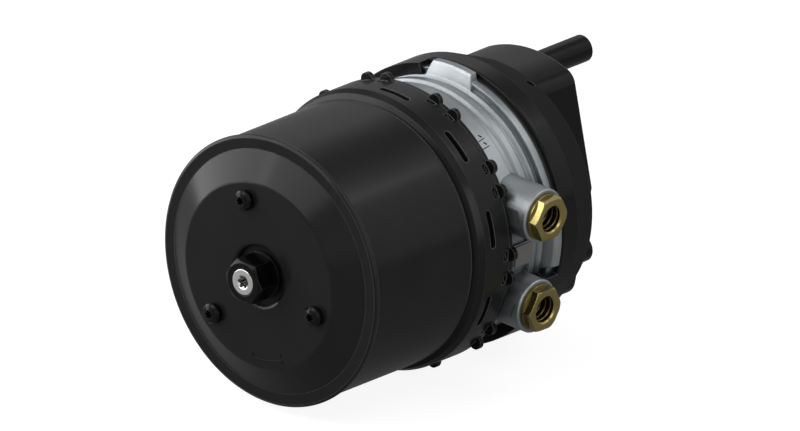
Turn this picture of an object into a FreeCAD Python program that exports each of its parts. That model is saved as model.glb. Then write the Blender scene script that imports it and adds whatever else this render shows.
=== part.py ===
import FreeCAD, Part
import math
import os

import Sketcher
from FreeCAD import Placement, Rotation, Vector

# Double air brake chamber: a spring housing in front, a cast intermediate flange with two ports
# in the middle and a service housing with two mounting studs at the back.
# Millimetres. The chamber's axis is Y. The origin is the centre of the mounting face, which faces
# +Y. Z is up. A station is a distance behind the flat front face of the spring housing.

DRIVING = {
    # Whole chamber
    "running_gap": 0.05,
    "fitting_gap": 0.15,
    "seat_gap": 0.3,
    # Spring housing, a drawn steel pot
    "pot_margin": 18.575,
    "pot_wall": 3.5,
    "bevel_inset": 6.6,
    "bevel_width": 17.2,
    "bevel_depth": 9.8,
    "bead_rise": 1.4,
    "bead_width": 3.2,
    "neck_depth": 1.9,
    "barrel_length": 96.5,
    "collar_rise": 4.1,
    "collar_ramp": 4.0,
    "collar_ramp_drop": 1.9,
    "collar_length": 24.9,
    "bolt_opening": 17.5,
    "slot_count": 10.0,
    "slot_length": 22.0,
    "slot_width": 4.0,
    "slot_inset": 13.4,
    "slot_turn": 12.3,
    # Lock ring behind the collar, with pairs of ears
    "lock_thickness": 2.8,
    "ear_pairs": 10.0,
    "ear_turn": 30.4,
    "ear_half_step": 5.1,
    "ear_radius": 4.3,
    "ear_rise": 4.0,
    "ear_hollow_radius": 3.6,
    "ear_hollow_depth": 2.1,
    "ear_hollow_length": 3.4,
    "collar_lip": 1.3,
    # Retaining ring seen through the slots
    "snap_width": 4.2,
    "snap_depth": 2.4,
    # Intermediate flange, cast aluminium
    "flange_depth": 38.6,
    "rim_thickness": 5.0,
    "rim_rise": 1.1,
    "waist_drop": 4.8,
    "groove_depth": 2.0,
    "groove_flank": 1.8,
    "first_groove": 18.4,
    "first_groove_width": 6.6,
    "second_groove": 7.6,
    "second_groove_width": 5.4,
    "lug_rise": 1.0,
    "lug_slope": 2.2,
    "collar_step": 2.0,
    "spigot_wall": 4.6,
    "ring_groove_width": 3.6,
    "ring_groove_depth": 2.6,
    "ring_groove_inset": 2.6,
    "lug_angle": 19.4,
    "lug_taper": 3.4,
    "lug_turn": 1.4,
    "flange_turn": -5.0,
    "web_thickness": 7.0,
    "cast_wall": 4.2,
    "bead_seat": 6.0,
    "dish_slope": 24.0,
    "dish_depth": 10.0,
    "hub_length": 16.0,
    "hub_radius": 24.0,
    # Ports
    "port_setback": 18.0,
    "boss_rise": 7.2,
    "port_spacing": 56.1,
    "boss_radius": 16.0,
    "port_bore": 7.6,
    "port_mouth": 0.9,
    "port_hex": 24.0,
    "port_hex_height": 6.9,
    "port_flange": 1.8,
    "port_shank": 11.0,
    "port_shank_length": 12.0,
    "port_passage": 4.5,
    "service_passage": 2.2,
    "service_passage_run": 16.0,
    "port_seal_wire": 1.0,
    # Blank tag plate
    "tag_rise": 3.3,
    "tag_length": 14.0,
    "tag_height": 12.5,
    "tag_thickness": 1.0,
    # Service housing
    "ring_gap": 2.0,
    "rim_clearance": 0.5,
    "ring_length": 13.0,
    "cone_length": 22.5,
    "neck_length": 31.5,
    "cone_ledge": 1.0,
    "stud_margin": 13.275,
    "vent_setback": 4.6,
    "ring_wall": 2.8,
    "rear_half_top": 34.0,
    "rear_half_middle": 47.6,
    "rear_corner": 10.0,
    "rear_edge": 2.0,
    "housing_wall": 3.2,
    "rear_wall": 6.0,
    "mouth_radius": 28.0,
    "lip_thickness": 2.6,
    "lip_angle": 60.0,
    "vent_radius": 2.9,
    "vent_angle": 65.3,
    # Mounting studs
    "stud_spacing": 120.65,
    "stud_radius": 8.0,
    "stud_length": 46.0,
    "stud_neck_radius": 8.7,
    "stud_collar_radius": 9.7,
    "stud_collar": 4.0,
    "stud_tip": 1.2,
    # Diaphragm
    "rubber": 3.0,
    "bead_thickness": 3.6,
    # Push plate and rod
    "plate_radius": 41.0,
    "plate_thickness": 3.5,
    "rod_radius": 9.0,
    "rod_proud": 15.0,
    "return_wire": 2.1,
    "return_turns": 6.0,
    "return_radius": 34.0,
    # Boot and its ring
    "boot_wall": 1.6,
    "boot_depth": 16.0,
    "boot_ring_wall": 1.2,
    "boot_ring_depth": 9.0,
    "boot_lip": 5.0,
    # Seal in the mounting face
    "face_seal_radius": 38.0,
    "face_seal_wire": 1.8,
    # Spring piston
    "piston_clearance": 3.9,
    "piston_land_front": 26.0,
    "piston_land_length": 12.0,
    "piston_wall": 3.0,
    "crown_front": 56.0,
    "crown_thickness": 8.0,
    "crown_web": 4.0,
    "crown_boss_length": 8.0,
    "crown_boss_radius": 23.0,
    "bolt_hole": 9.5,
    "seal_width": 4.0,
    "seal_depth": 3.2,
    "guide_width": 3.0,
    "guide_depth": 1.6,
    # Push tube
    "tube_radius": 16.0,
    "tube_wall": 3.5,
    "tube_plug": 6.0,
    "bush_wall": 2.0,
    "bush_length": 11.0,
    "tube_seal_width": 3.0,
    "snap_wire": 1.2,
    # Power spring
    "spring_clearance": 3.0,
    "power_wire": 6.0,
    "power_front_radius": 32.0,
    "power_turns": 3.5,
    # Release bolt, nut and bearing
    "bolt_overrun": 2.0,
    "nut_setback": 18.0,
    "bearing_inset": 2.1,
    "bolt_proud": 14.0,
    "bolt_hex": 24.0,
    "bolt_turn": -7.5,
    "bolt_radius": 8.0,
    "insert_radius": 7.9,
    "insert_depth": 9.0,
    "star_radius": 3.9,
    "star_depth": 7.0,
    "star_entry": 1.0,
    "washer_thickness": 2.0,
    "washer_radius": 14.0,
    "nut_length": 14.0,
    "nut_clearance": 0.9,
    "pin_radius": 2.0,
    "bearing_plate": 5.0,
    "bearing_boss_radius": 20.0,
    "bearing_boss": 8.0,
    # Cover screws
    "screw_inset": 10.1,
    "screw_count": 3.0,
    "screw_turn": 102.2,
    "screw_head_radius": 6.2,
    "screw_head_height": 5.0,
    "screw_radius": 3.0,
    "screw_length": 9.0,
    "screw_star": 2.7,
    "screw_star_depth": 2.4,
}

HEX_CORNER = 2 / math.sqrt(3)
WIRE_SIDES = 8
QUARTER_TURN = 90
EIGHTH_TURN = 45
LUG_COUNT = 4
# A star drive's lobes: turn from the lobe's middle in degrees, reach as a part of the full radius
STAR_LOBES = 6
STAR_OUTLINE = ((-16, 0.9), (0, 1.0), (16, 0.9), (30, 0.72), (44, 0.9))
# A button head's outline: height and radius as parts of the head's own
BUTTON_OUTLINE = ((1.0, 0), (1.0, 0.45), (0.87, 0.8), (0.67, 0.97), (0.55, 1.0), (0, 1.0))

doc = FreeCAD.newDocument("air_brake_chamber")
sheet = doc.addObject("Spreadsheet::Sheet", "Sizes")


class Size:
    """A length together with the sheet formula that it comes from."""

    def __init__(self, value, text):
        self.value = value
        self.text = text

    def __add__(self, other):
        other = size(other)
        return Size(self.value + other.value, f"({self.text} + {other.text})")

    def __sub__(self, other):
        other = size(other)
        return Size(self.value - other.value, f"({self.text} - {other.text})")

    def __mul__(self, factor):
        factor = size(factor)
        return Size(self.value * factor.value, f"({self.text} * {factor.text})")

    def __truediv__(self, factor):
        factor = size(factor)
        return Size(self.value / factor.value, f"({self.text} / {factor.text})")

    def __neg__(self):
        return Size(-self.value, f"(0 - {self.text})")

    __radd__ = __add__
    __rmul__ = __mul__

    def __rsub__(self, other):
        return size(other) - self


def size(number):
    """A Size from a plain number, or the Size itself."""
    if isinstance(number, Size):
        return number
    return Size(float(number), repr(float(number)))


class Sheet:
    """The driving sizes by name."""


d = Sheet()
for row, (name, number) in enumerate(DRIVING.items(), start=1):
    sheet.set(f"A{row}", name)
    sheet.set(f"B{row}", str(number))
    sheet.setAlias(f"B{row}", name)
    setattr(d, name, Size(number, f"Sizes.{name}"))
doc.recompute()


def bind(thing, prop, value):
    """Tie a property to its sheet formula."""
    value = size(value)
    thing.setExpression(prop, value.text)


def put(thing, y=0, turn=0, x=0, z=0):
    """Place a piece at a point, turned about the chamber's axis from +X towards +Z, in degrees."""
    turn = size(turn).value
    thing.Placement = Placement(Vector(0, 0, 0), Rotation(Vector(0, -1, 0), turn))
    for axis, value in (("x", x), ("y", y), ("z", z)):
        bind(thing, f"Placement.Base.{axis}", value)


def new_body(label):
    body = doc.addObject("PartDesign::Body", label)
    body.Label = label
    return body


def origin_plane(body, role):
    for feature in body.Origin.OriginFeatures:
        if feature.Role == role:
            return feature
    raise ValueError(role)


def new_sketch(body, name, role, offset=0, turn=0):
    """A sketch on a plane of the body's own origin, moved along the plane's normal and turned about Y."""
    sketch = body.newObject("Sketcher::SketchObject", f"{body.Name}_{name}")
    sketch.AttachmentSupport = [(origin_plane(body, role), "")]
    sketch.MapMode = "FlatFace"
    sketch.AttachmentOffset = Placement(Vector(0, 0, 0), Rotation(Vector(0, 1, 0), size(turn).value))
    if size(turn).value == 0:
        bind(sketch, "AttachmentOffset.Base.z", offset)
    return sketch


def place_vertex(sketch, line, point):
    """Fix a line's first point by two distances from the origin."""
    for kind, value in (("DistanceX", point[0]), ("DistanceY", point[1])):
        value = size(value)
        number = sketch.addConstraint(Sketcher.Constraint(kind, -1, 1, line, 1, value.value))
        sketch.setExpression(f"Constraints[{number}]", value.text)


def draw_polygon(sketch, points):
    """A closed outline of straight lines, each corner tied to its sizes."""
    points = [(size(a), size(b)) for a, b in points]
    first = sketch.GeometryCount
    count = len(points)
    for number in range(count):
        start = points[number]
        end = points[(number + 1) % count]
        places = [(u.value, v.value) for u, v in (start, end)]
        sketch.addGeometry(flat_line(*places), False)
    for number in range(count):
        following = first + (number + 1) % count
        sketch.addConstraint(Sketcher.Constraint("Coincident", first + number, 2, following, 1))
    for number in range(count):
        place_vertex(sketch, first + number, points[number])


def draw_circle(sketch, centre, radius):
    """A circle whose centre and radius are tied to their sizes."""
    u, v, radius = size(centre[0]), size(centre[1]), size(radius)
    circle = Part.Circle(Vector(u.value, v.value, 0), Vector(0, 0, 1), radius.value)
    index = sketch.addGeometry(circle, False)
    number = sketch.addConstraint(Sketcher.Constraint("Radius", index, radius.value))
    sketch.setExpression(f"Constraints[{number}]", radius.text)
    for kind, value in (("DistanceX", u), ("DistanceY", v)):
        number = sketch.addConstraint(Sketcher.Constraint(kind, -1, 1, index, 3, value.value))
        sketch.setExpression(f"Constraints[{number}]", value.text)


def half_circle(u, v, reach):
    """Half a circle about (u, v) whose middle lies at u + reach."""
    return Part.Arc(Vector(u, v - reach, 0), Vector(u + reach, v, 0), Vector(u, v + reach, 0))


def flat_line(start, end):
    """A sketch line between two (U, V) places."""
    return Part.LineSegment(Vector(*start, 0), Vector(*end, 0))


def draw_slot(sketch, length, width, centre_v):
    """A slot along U with round ends, centred on U = 0."""
    half = (size(length) - width) / 2
    radius = size(width) / 2
    v = size(centre_v)
    low = v.value - radius.value
    high = v.value + radius.value
    right = sketch.addGeometry(half_circle(half.value, v.value, radius.value))
    left = sketch.addGeometry(half_circle(-half.value, v.value, -radius.value))
    top = sketch.addGeometry(flat_line((half.value, high), (-half.value, high)))
    bottom = sketch.addGeometry(flat_line((-half.value, low), (half.value, low)))
    for one, other in ((right, top), (top, left), (left, bottom), (bottom, right)):
        sketch.addConstraint(Sketcher.Constraint("Tangent", one, 2, other, 1))
    centres = (("DistanceX", right, half), ("DistanceX", left, -half), ("DistanceY", right, v))
    for kind, item, value in centres:
        number = sketch.addConstraint(Sketcher.Constraint(kind, -1, 1, item, 3, value.value))
        sketch.setExpression(f"Constraints[{number}]", value.text)
    number = sketch.addConstraint(Sketcher.Constraint("Radius", right, radius.value))
    sketch.setExpression(f"Constraints[{number}]", radius.text)
    sketch.addConstraint(Sketcher.Constraint("Horizontal", top))


def axis_link(body, role):
    return (origin_plane(body, role), [""])


def revolve(body, name, points, angle=360.0, centred=True, cut=False):
    """Turn a closed section of (along the axis, radius) points about the chamber's axis."""
    sketch = new_sketch(body, f"{name}_section", "YZ_Plane")
    draw_polygon(sketch, points)
    kind = "PartDesign::Groove" if cut else "PartDesign::Revolution"
    feature = body.newObject(kind, f"{body.Name}_{name}")
    feature.Profile = sketch
    feature.ReferenceAxis = axis_link(body, "Y_Axis")
    feature.Angle = size(angle).value
    feature.Midplane = centred
    return feature


def turned(label, points, y, turn=0):
    """A turned piece in a body of its own."""
    body = new_body(label)
    revolve(body, "turned", points)
    put(body, y, turn)
    return body


def circle_edges(shape, spots):
    """The names of the round edges about the axis at the given (along the axis, radius) places."""
    names = []
    for number, edge in enumerate(shape.Edges, start=1):
        if not isinstance(edge.Curve, Part.Circle):
            continue
        centre = edge.Curve.Center
        if math.hypot(centre.x, centre.z) > 0.01 or abs(edge.Curve.Axis.y) < 0.999:
            continue
        for along, radius in spots:
            near_y = abs(centre.y - size(along).value) < 0.01
            if near_y and abs(edge.Curve.Radius - size(radius).value) < 0.01:
                names.append(f"Edge{number}")
    return names


def soften(body, name, spots, radius, kind="PartDesign::Fillet"):
    """Round or chamfer the turned edges at the given places of a body."""
    doc.recompute()
    base = body.Tip
    names = circle_edges(base.Shape, spots)
    if not names:
        raise ValueError(f"no edges found on {body.Label} for {name}")
    feature = body.newObject(kind, f"{body.Name}_{name}")
    feature.Base = (base, names)
    bind(feature, "Radius" if kind == "PartDesign::Fillet" else "Size", radius)
    return feature


def pocket(body, name, sketch, length=None, reverse=False):
    """Cut a sketch into a body, through everything when no length is given."""
    feature = body.newObject("PartDesign::Pocket", f"{body.Name}_{name}")
    feature.Profile = sketch
    if length is None:
        feature.Type = "ThroughAll"
        feature.Midplane = True
    else:
        feature.Type = "Length"
        bind(feature, "Length", length)
        feature.Reversed = reverse
    return feature


def pad(body, name, sketch, length, reverse=False):
    feature = body.newObject("PartDesign::Pad", f"{body.Name}_{name}")
    feature.Profile = sketch
    bind(feature, "Length", length)
    feature.Reversed = reverse
    return feature


def repeat(body, name, features, count, angle=360.0):
    """Copies of some features round the chamber's axis."""
    pattern = body.newObject("PartDesign::PolarPattern", f"{body.Name}_{name}")
    pattern.Originals = features
    pattern.Axis = axis_link(body, "Y_Axis")
    pattern.Angle = angle
    pattern.Occurrences = int(size(count).value)
    body.Tip = pattern
    return pattern


def primitive(kind, name, sizes, y=0, x=0, z=0, rotation=None):
    """A simple solid whose sizes are tied to the sheet. Unless rotated otherwise it runs along +Y."""
    thing = doc.addObject(f"Part::{kind}", name)
    for prop, value in sizes.items():
        bind(thing, prop, value)
    thing.Placement = Placement(Vector(0, 0, 0), rotation or Rotation(Vector(1, 0, 0), -QUARTER_TURN))
    for axis, value in (("x", x), ("y", y), ("z", z)):
        bind(thing, f"Placement.Base.{axis}", value)
    return thing


def hex_prism(name, across_flats, height, y, turn=0):
    """A six-sided bar along +Y. Turn 0 puts a corner at +X."""
    thing = doc.addObject("Part::Prism", name)
    thing.Polygon = 6
    bind(thing, "Circumradius", size(across_flats) * (HEX_CORNER / 2))
    bind(thing, "Height", height)
    thing.Placement = Placement(
        Vector(0, 0, 0), Rotation(Vector(0, -1, 0), turn).multiply(Rotation(Vector(1, 0, 0), -QUARTER_TURN))
    )
    bind(thing, "Placement.Base.y", y)
    return thing


def joined(label, pieces):
    thing = doc.addObject("Part::MultiFuse", label)
    thing.Shapes = pieces
    thing.Label = label
    return thing


def without(label, base, tool):
    thing = doc.addObject("Part::Cut", label)
    thing.Base = base
    thing.Tool = tool
    thing.Label = label
    return thing


def common(label, base, tool):
    thing = doc.addObject("Part::Common", label)
    thing.Base = base
    thing.Tool = tool
    thing.Label = label
    return thing


def star_bar(name, radius, depth, y, x=0, z=0):
    """A six-lobed bar along +Y, the shape of a star driver's recess."""
    outer = size(radius).value
    arcs = []
    for lobe in range(STAR_LOBES):
        middle = math.tau * lobe / STAR_LOBES
        places = []
        for turn, part in STAR_OUTLINE:
            angle = middle + math.radians(turn)
            reach = outer * part
            places.append(Vector(reach * math.cos(angle), 0, reach * math.sin(angle)))
        arcs.append(Part.Arc(places[0], places[1], places[2]).toShape())
        arcs.append(Part.Arc(places[2], places[3], places[4]).toShape())
    face = Part.Face(Part.Wire(arcs))
    thing = doc.addObject("Part::Feature", name)
    thing.Shape = face.extrude(Vector(0, size(depth).value, 0))
    for axis, value in (("x", x), ("y", y), ("z", z)):
        bind(thing, f"Placement.Base.{axis}", value)
    return thing


# Places that several pieces share

pot_radius = d.stud_spacing / 2 + d.pot_margin
bevel_radius = pot_radius - d.bevel_inset
face_radius = bevel_radius - d.bevel_width
bead_radius = pot_radius + d.bead_rise
bore_radius = pot_radius - d.pot_wall
collar_radius = pot_radius + d.collar_rise
collar_bore = collar_radius - d.pot_wall
collar_front = d.barrel_length + d.collar_step
collar_rear = d.barrel_length + d.collar_length
slot_station = collar_rear - d.slot_inset
ear_reach = collar_radius + d.ear_rise
shoulder_station = collar_rear + d.lock_thickness
spigot_radius = collar_bore - d.fitting_gap
spigot_bore = spigot_radius - d.spigot_wall

rim_front = collar_rear + d.flange_depth
rim_rear = rim_front + d.rim_thickness
rim_radius = pot_radius + d.rim_rise
bead_rear = rim_rear + d.bead_thickness
waist_radius = rim_radius - d.waist_drop
band_radius = waist_radius + d.groove_depth / 2
dish_mouth = rim_radius - d.bead_seat
dish_radius = dish_mouth - d.dish_slope
dish_station = rim_front - d.dish_depth
dish_rear = rim_rear - d.fitting_gap * 10
hub_front = dish_station - d.hub_length

ring_front = rim_rear + d.ring_gap
ring_end = ring_front + d.ring_length
ring_radius = rim_radius + d.rim_clearance + d.ring_wall
cone_end = ring_end + d.cone_length
total_length = cone_end + d.neck_length
rear_radius = d.stud_spacing / 2 + d.stud_margin
cone_radius = rear_radius + d.cone_ledge
rear_inside = total_length - d.rear_wall
lip_radius = band_radius + d.fitting_gap * 2
lug_radius = ring_radius + d.lug_rise
vent_station = cone_end - d.vent_setback

port_station = collar_rear + d.port_setback
boss_reach = ring_radius + d.boss_rise
tag_station = port_station
tag_reach = waist_radius + d.tag_rise

piston_body_radius = bore_radius - d.piston_clearance
power_rear_radius = piston_body_radius - d.piston_wall - d.power_wire - d.spring_clearance
bearing_plate_radius = face_radius - d.bearing_inset
screw_circle = face_radius - d.screw_inset
bolt_end = hub_front + d.bolt_overrun
nut_front = bolt_end - d.nut_setback
tube_bore = d.tube_radius - d.tube_wall
nut_radius = tube_bore - d.nut_clearance
hub_bore = d.tube_radius + d.running_gap + d.bush_wall
plate_front = dish_station + d.seat_gap + d.rubber + d.seat_gap
plate_rear = plate_front + d.plate_thickness
rivet_radius = d.rod_radius * 0.6
front = -total_length


def around(radius, degrees):
    """The (X, Z) of a point at an angle from +X towards +Z."""
    angle = math.radians(size(degrees).value)
    return size(radius) * math.cos(angle), size(radius) * math.sin(angle)


def make_spring_housing():
    """The pot: flat face, bevel, bead, barrel, neck and the wide collar that holds the flange's spigot."""
    body = new_body("spring_housing")
    bead_front = d.bevel_depth + d.bead_width / 3
    section = [
        (0, d.bolt_opening),
        (0, face_radius),
        (d.bevel_depth, bevel_radius),
        (d.bevel_depth, bead_radius - d.bead_width / 2),
        (bead_front, bead_radius),
        (bead_front + d.bead_width / 3, bead_radius),
        (bead_front + d.bead_width, pot_radius),
        (d.barrel_length - d.neck_depth * 2, pot_radius),
        (d.barrel_length - d.neck_depth, pot_radius - d.neck_depth),
        (d.barrel_length - d.neck_depth / 2, pot_radius - d.neck_depth),
        (d.barrel_length + d.neck_depth / 2, collar_radius - d.collar_ramp_drop),
        (d.barrel_length + d.neck_depth / 2 + d.collar_ramp, collar_radius),
        (collar_rear, collar_radius),
        (collar_rear, collar_bore),
        (collar_front, collar_bore),
        (collar_front, bore_radius),
        (d.bevel_depth + d.pot_wall * 1.5, bore_radius),
        (d.bevel_depth + d.pot_wall, bevel_radius - d.pot_wall / 4),
        (d.pot_wall, face_radius - d.pot_wall / 4),
        (d.pot_wall, d.bolt_opening),
    ]
    revolve(body, "drawn", section)
    soften(body, "opening_lip", [(0, d.bolt_opening)], d.pot_wall * 0.8)
    soften(body, "face_edge", [(0, face_radius)], d.pot_wall)
    soften(
        body,
        "bead_round",
        [(bead_front, bead_radius), (bead_front + d.bead_width / 3, bead_radius)],
        d.bead_width / 6,
    )
    ramp_front = (d.barrel_length + d.neck_depth / 2, collar_radius - d.collar_ramp_drop)
    soften(body, "ramp_round", [ramp_front], d.neck_depth / 3)
    soften(body, "collar_edge", [(collar_rear, collar_radius)], d.pot_wall / 6)
    holes = new_sketch(body, "screw_holes_plan", "XZ_Plane")
    for number in range(int(d.screw_count.value)):
        x, z = around(screw_circle, d.screw_turn.value + number * 360 / d.screw_count.value)
        draw_circle(holes, (x, z), d.screw_radius + d.fitting_gap)
    pocket(body, "screw_holes", holes)
    plan = new_sketch(body, "slot_plan", "XY_Plane", turn=-QUARTER_TURN - d.slot_turn.value)
    draw_slot(plan, d.slot_length, d.slot_width, slot_station)
    slot = pocket(body, "slot", plan, collar_radius + d.pot_wall)
    repeat(body, "slots", [slot], d.slot_count)
    hollow_end = collar_rear - d.collar_lip
    hollows = new_sketch(body, "ear_hollow_plan", "XZ_Plane", offset=-hollow_end)
    reach = collar_radius + d.ear_hollow_radius - d.ear_hollow_depth
    for side in (-1, 1):
        centre = around(reach, d.ear_turn.value + side * d.ear_half_step.value)
        draw_circle(hollows, centre, d.ear_hollow_radius)
    hollow = pocket(body, "ear_hollow", hollows, d.ear_hollow_length, reverse=True)
    repeat(body, "ear_hollows", [hollow], d.ear_pairs)
    put(body, front)
    return body


def make_lock_ring():
    """A flat ring between the collar and the flange's shoulder, with rounded ears in pairs."""
    body = new_body("lock_ring")
    inner = spigot_radius + d.fitting_gap
    revolve(body, "ring", ring_section(0, d.lock_thickness, inner, collar_radius))
    plan = new_sketch(body, "ear_plan", "XZ_Plane")
    for side in (-1, 1):
        centre = around(ear_reach - d.ear_radius, d.ear_turn.value + side * d.ear_half_step.value)
        draw_circle(plan, centre, d.ear_radius)
    ears = pad(body, "ear_pair", plan, d.lock_thickness, reverse=True)
    repeat(body, "ears", [ears], d.ear_pairs)
    back = d.lock_thickness * 2
    revolve(body, "bore", ring_section(-back, back, inner / 2, inner), cut=True)
    put(body, front + collar_rear)
    return body


def ring_section(begin, end, inner, outer):
    return [(begin, inner), (begin, outer), (end, outer), (end, inner)]


def make_retaining_ring():
    """The split ring in the spigot's groove that the slots let be squeezed."""
    body = new_body("retaining_ring")
    half = d.snap_width / 2
    section = ring_section(-half, half, spigot_radius - d.snap_depth + d.fitting_gap, spigot_radius)
    revolve(body, "ring", section, angle=345.0)
    put(body, front + slot_station, d.slot_turn)
    return body


def waist_groove(begin, width):
    """The turned outline of a shallow groove round the casting's waist."""
    floor = band_radius - d.groove_depth
    return [
        (begin, band_radius),
        (begin + d.groove_flank, floor),
        (begin + width - d.groove_flank, floor),
        (begin + width, band_radius),
    ]


def make_flange():
    """The cast flange: spigot, shoulder, waist, rim with lugs, dish, hub, port bosses and tag seat."""
    body = new_body("flange_casting")
    groove_front = collar_front + d.ring_groove_inset
    groove_rear = groove_front + d.ring_groove_width
    snap_front = slot_station - d.snap_width / 2 - d.fitting_gap
    snap_rear = slot_station + d.snap_width / 2 + d.fitting_gap
    dish_front = dish_station - d.web_thickness
    chamber_radius = waist_radius - d.groove_depth / 2 - d.cast_wall
    cavity = [
        (collar_front, spigot_bore),
        (shoulder_station - d.cast_wall / 3, spigot_bore),
        (shoulder_station + d.cast_wall, chamber_radius),
        (dish_rear - d.web_thickness * 1.3, chamber_radius),
        (dish_front, dish_radius - d.web_thickness / 2),
        (dish_front, d.hub_radius),
        (hub_front, d.hub_radius),
        (hub_front, hub_bore),
    ]
    section = [
        (collar_front, spigot_radius),
        (groove_front, spigot_radius),
        (groove_front, spigot_radius - d.ring_groove_depth),
        (groove_rear, spigot_radius - d.ring_groove_depth),
        (groove_rear, spigot_radius),
        (snap_front, spigot_radius),
        (snap_front, spigot_radius - d.snap_depth),
        (snap_rear, spigot_radius - d.snap_depth),
        (snap_rear, spigot_radius),
        (shoulder_station, spigot_radius),
        (shoulder_station, rim_radius),
        (shoulder_station + d.groove_flank, rim_radius),
        (shoulder_station + d.rim_thickness, band_radius),
        *waist_groove(rim_front - d.first_groove, d.first_groove_width),
        *waist_groove(rim_front - d.second_groove, d.second_groove_width),
        (rim_front, band_radius),
        (rim_front, rim_radius),
        (rim_rear, rim_radius),
        (rim_rear, dish_mouth + d.fitting_gap * 4),
        (dish_rear, dish_mouth),
        (dish_station, dish_radius),
        (dish_station, hub_bore),
    ] + cavity[::-1]
    revolve(body, "cast", section)
    soften(body, "rim_edge", [(rim_front, rim_radius)], d.rubber / 4)
    make_lugs(body)
    make_bosses(body)
    chamber = cavity[:5] + [(dish_front, d.hub_radius), (collar_front, d.hub_radius)]
    revolve(body, "chamber", chamber, cut=True)
    clearance = ring_section(collar_front, shoulder_station, spigot_radius, boss_reach)
    revolve(body, "collar_clearance", clearance, cut=True)
    drill_ports(body)
    put(body, front, d.flange_turn)
    return body


def make_lugs(body):
    """Four tapered lugs on the rim that stand in the gaps between the housing's lips."""
    plan = new_sketch(body, "lug_plan", "XZ_Plane", offset=-rim_rear)
    tip_half = d.lug_angle.value / 2
    foot_half = tip_half + d.lug_taper.value
    foot_radius = band_radius - d.fitting_gap * 4
    steps = (-1, -0.5, 0, 0.5, 1)
    tip = [around(lug_radius, d.lug_turn.value + tip_half * step) for step in steps]
    foot = [around(foot_radius, d.lug_turn.value + foot_half * step) for step in steps]
    draw_polygon(plan, tip + foot[::-1])
    lug = pad(body, "lug", plan, d.rim_thickness + d.lug_slope)
    repeat(body, "lugs", [lug], LUG_COUNT)
    slope_front = rim_front - d.lug_slope
    slope = [
        (slope_front - d.lug_rise, band_radius),
        (slope_front, band_radius),
        (rim_front, lug_radius - d.lug_rise * 1.5),
        (rim_front + d.lug_rise, lug_radius),
        (rim_front + d.lug_rise, lug_radius + d.lug_rise),
        (slope_front - d.lug_rise, lug_radius + d.lug_rise),
    ]
    revolve(body, "lug_slopes", slope, cut=True)


def make_bosses(body):
    """Two parallel port bosses that stand out of the flange, and the flat seat of the tag between them."""
    start = boss_reach - d.boss_radius * 2
    plan = new_sketch(body, "boss_plan", "YZ_Plane", offset=start)
    for side in (-1, 1):
        draw_circle(plan, (port_station, d.port_spacing * (side / 2)), d.boss_radius)
    pad(body, "bosses", plan, boss_reach - start)
    doc.recompute()
    base = body.Tip
    ends = []
    for number, edge in enumerate(base.Shape.Edges, start=1):
        if isinstance(edge.Curve, Part.Circle) and abs(edge.Curve.Center.x - boss_reach.value) < 0.01:
            ends.append(f"Edge{number}")
    rounding = body.newObject("PartDesign::Fillet", f"{body.Name}_boss_ends")
    rounding.Base = (base, ends)
    bind(rounding, "Radius", d.rubber / 3)
    seat = new_sketch(body, "tag_seat_plan", "YZ_Plane", offset=start)
    half_length = d.tag_length / 2 + d.rubber / 3
    half_height = d.tag_height / 2 + d.rubber / 3
    draw_polygon(
        seat,
        [
            (tag_station - half_length, -half_height),
            (tag_station + half_length, -half_height),
            (tag_station + half_length, half_height),
            (tag_station - half_length, half_height),
        ],
    )
    pad(body, "tag_seat", seat, tag_reach - d.tag_thickness - start)


def drill_ports(body):
    """Bores for the fittings and seals, and the upper port's passage into the spring chamber."""
    seat_depth = d.port_seal_wire * 2 + d.fitting_gap
    depths = (
        ("seal_seat", d.port_shank + seat_depth + d.fitting_gap, seat_depth),
        ("fitting_bore", d.port_shank + d.running_gap, d.port_shank_length + d.fitting_gap),
    )
    for name, radius, depth in depths:
        plan = new_sketch(body, f"{name}_plan", "YZ_Plane", offset=boss_reach)
        for side in (-1, 1):
            draw_circle(plan, (port_station, d.port_spacing * (side / 2)), radius)
        pocket(body, name, plan, depth)
    plan = new_sketch(body, "passage_plan", "YZ_Plane", offset=boss_reach)
    draw_circle(plan, (port_station, d.port_spacing / 2), d.port_passage)
    pocket(body, "passage", plan, boss_reach - dish_radius)


def make_intermediate_flange():
    """The casting with the lower port's slanted passage to the service side."""
    casting = make_flange()
    start_reach = boss_reach - d.port_shank_length - d.port_passage / 2
    run_back = rim_rear - port_station
    run_in = d.service_passage_run
    slope = math.degrees(math.atan2(run_in.value, run_back.value))
    flange_turn = Rotation(Vector(0, -1, 0), d.flange_turn.value)
    along = Rotation(Vector(0, 0, 1), slope).multiply(Rotation(Vector(1, 0, 0), -QUARTER_TURN))
    start = flange_turn.multVec(Vector(start_reach.value, 0, -d.port_spacing.value / 2))
    passage = doc.addObject("Part::Cylinder", "service_passage")
    bind(passage, "Radius", d.service_passage)
    bind(passage, "Height", run_back + d.rubber)
    passage.Placement = Placement(start, flange_turn.multiply(along))
    bind(passage, "Placement.Base.y", front + port_station)
    return without("intermediate_flange", casting, passage)


def on_flange(thing, reach, across, y, tilt=None):
    """Place a piece on the flange's turned frame: reach towards the ports, across them and along Y."""
    frame_turn = Rotation(Vector(0, -1, 0), d.flange_turn.value)
    thing.Placement = Placement(Vector(0, 0, 0), frame_turn.multiply(tilt or Rotation()))
    turn = math.radians(d.flange_turn.value)
    reach, across = size(reach), size(across)
    bind(thing, "Placement.Base.x", reach * math.cos(turn) - across * math.sin(turn))
    bind(thing, "Placement.Base.z", reach * math.sin(turn) + across * math.cos(turn))
    bind(thing, "Placement.Base.y", y)


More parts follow.
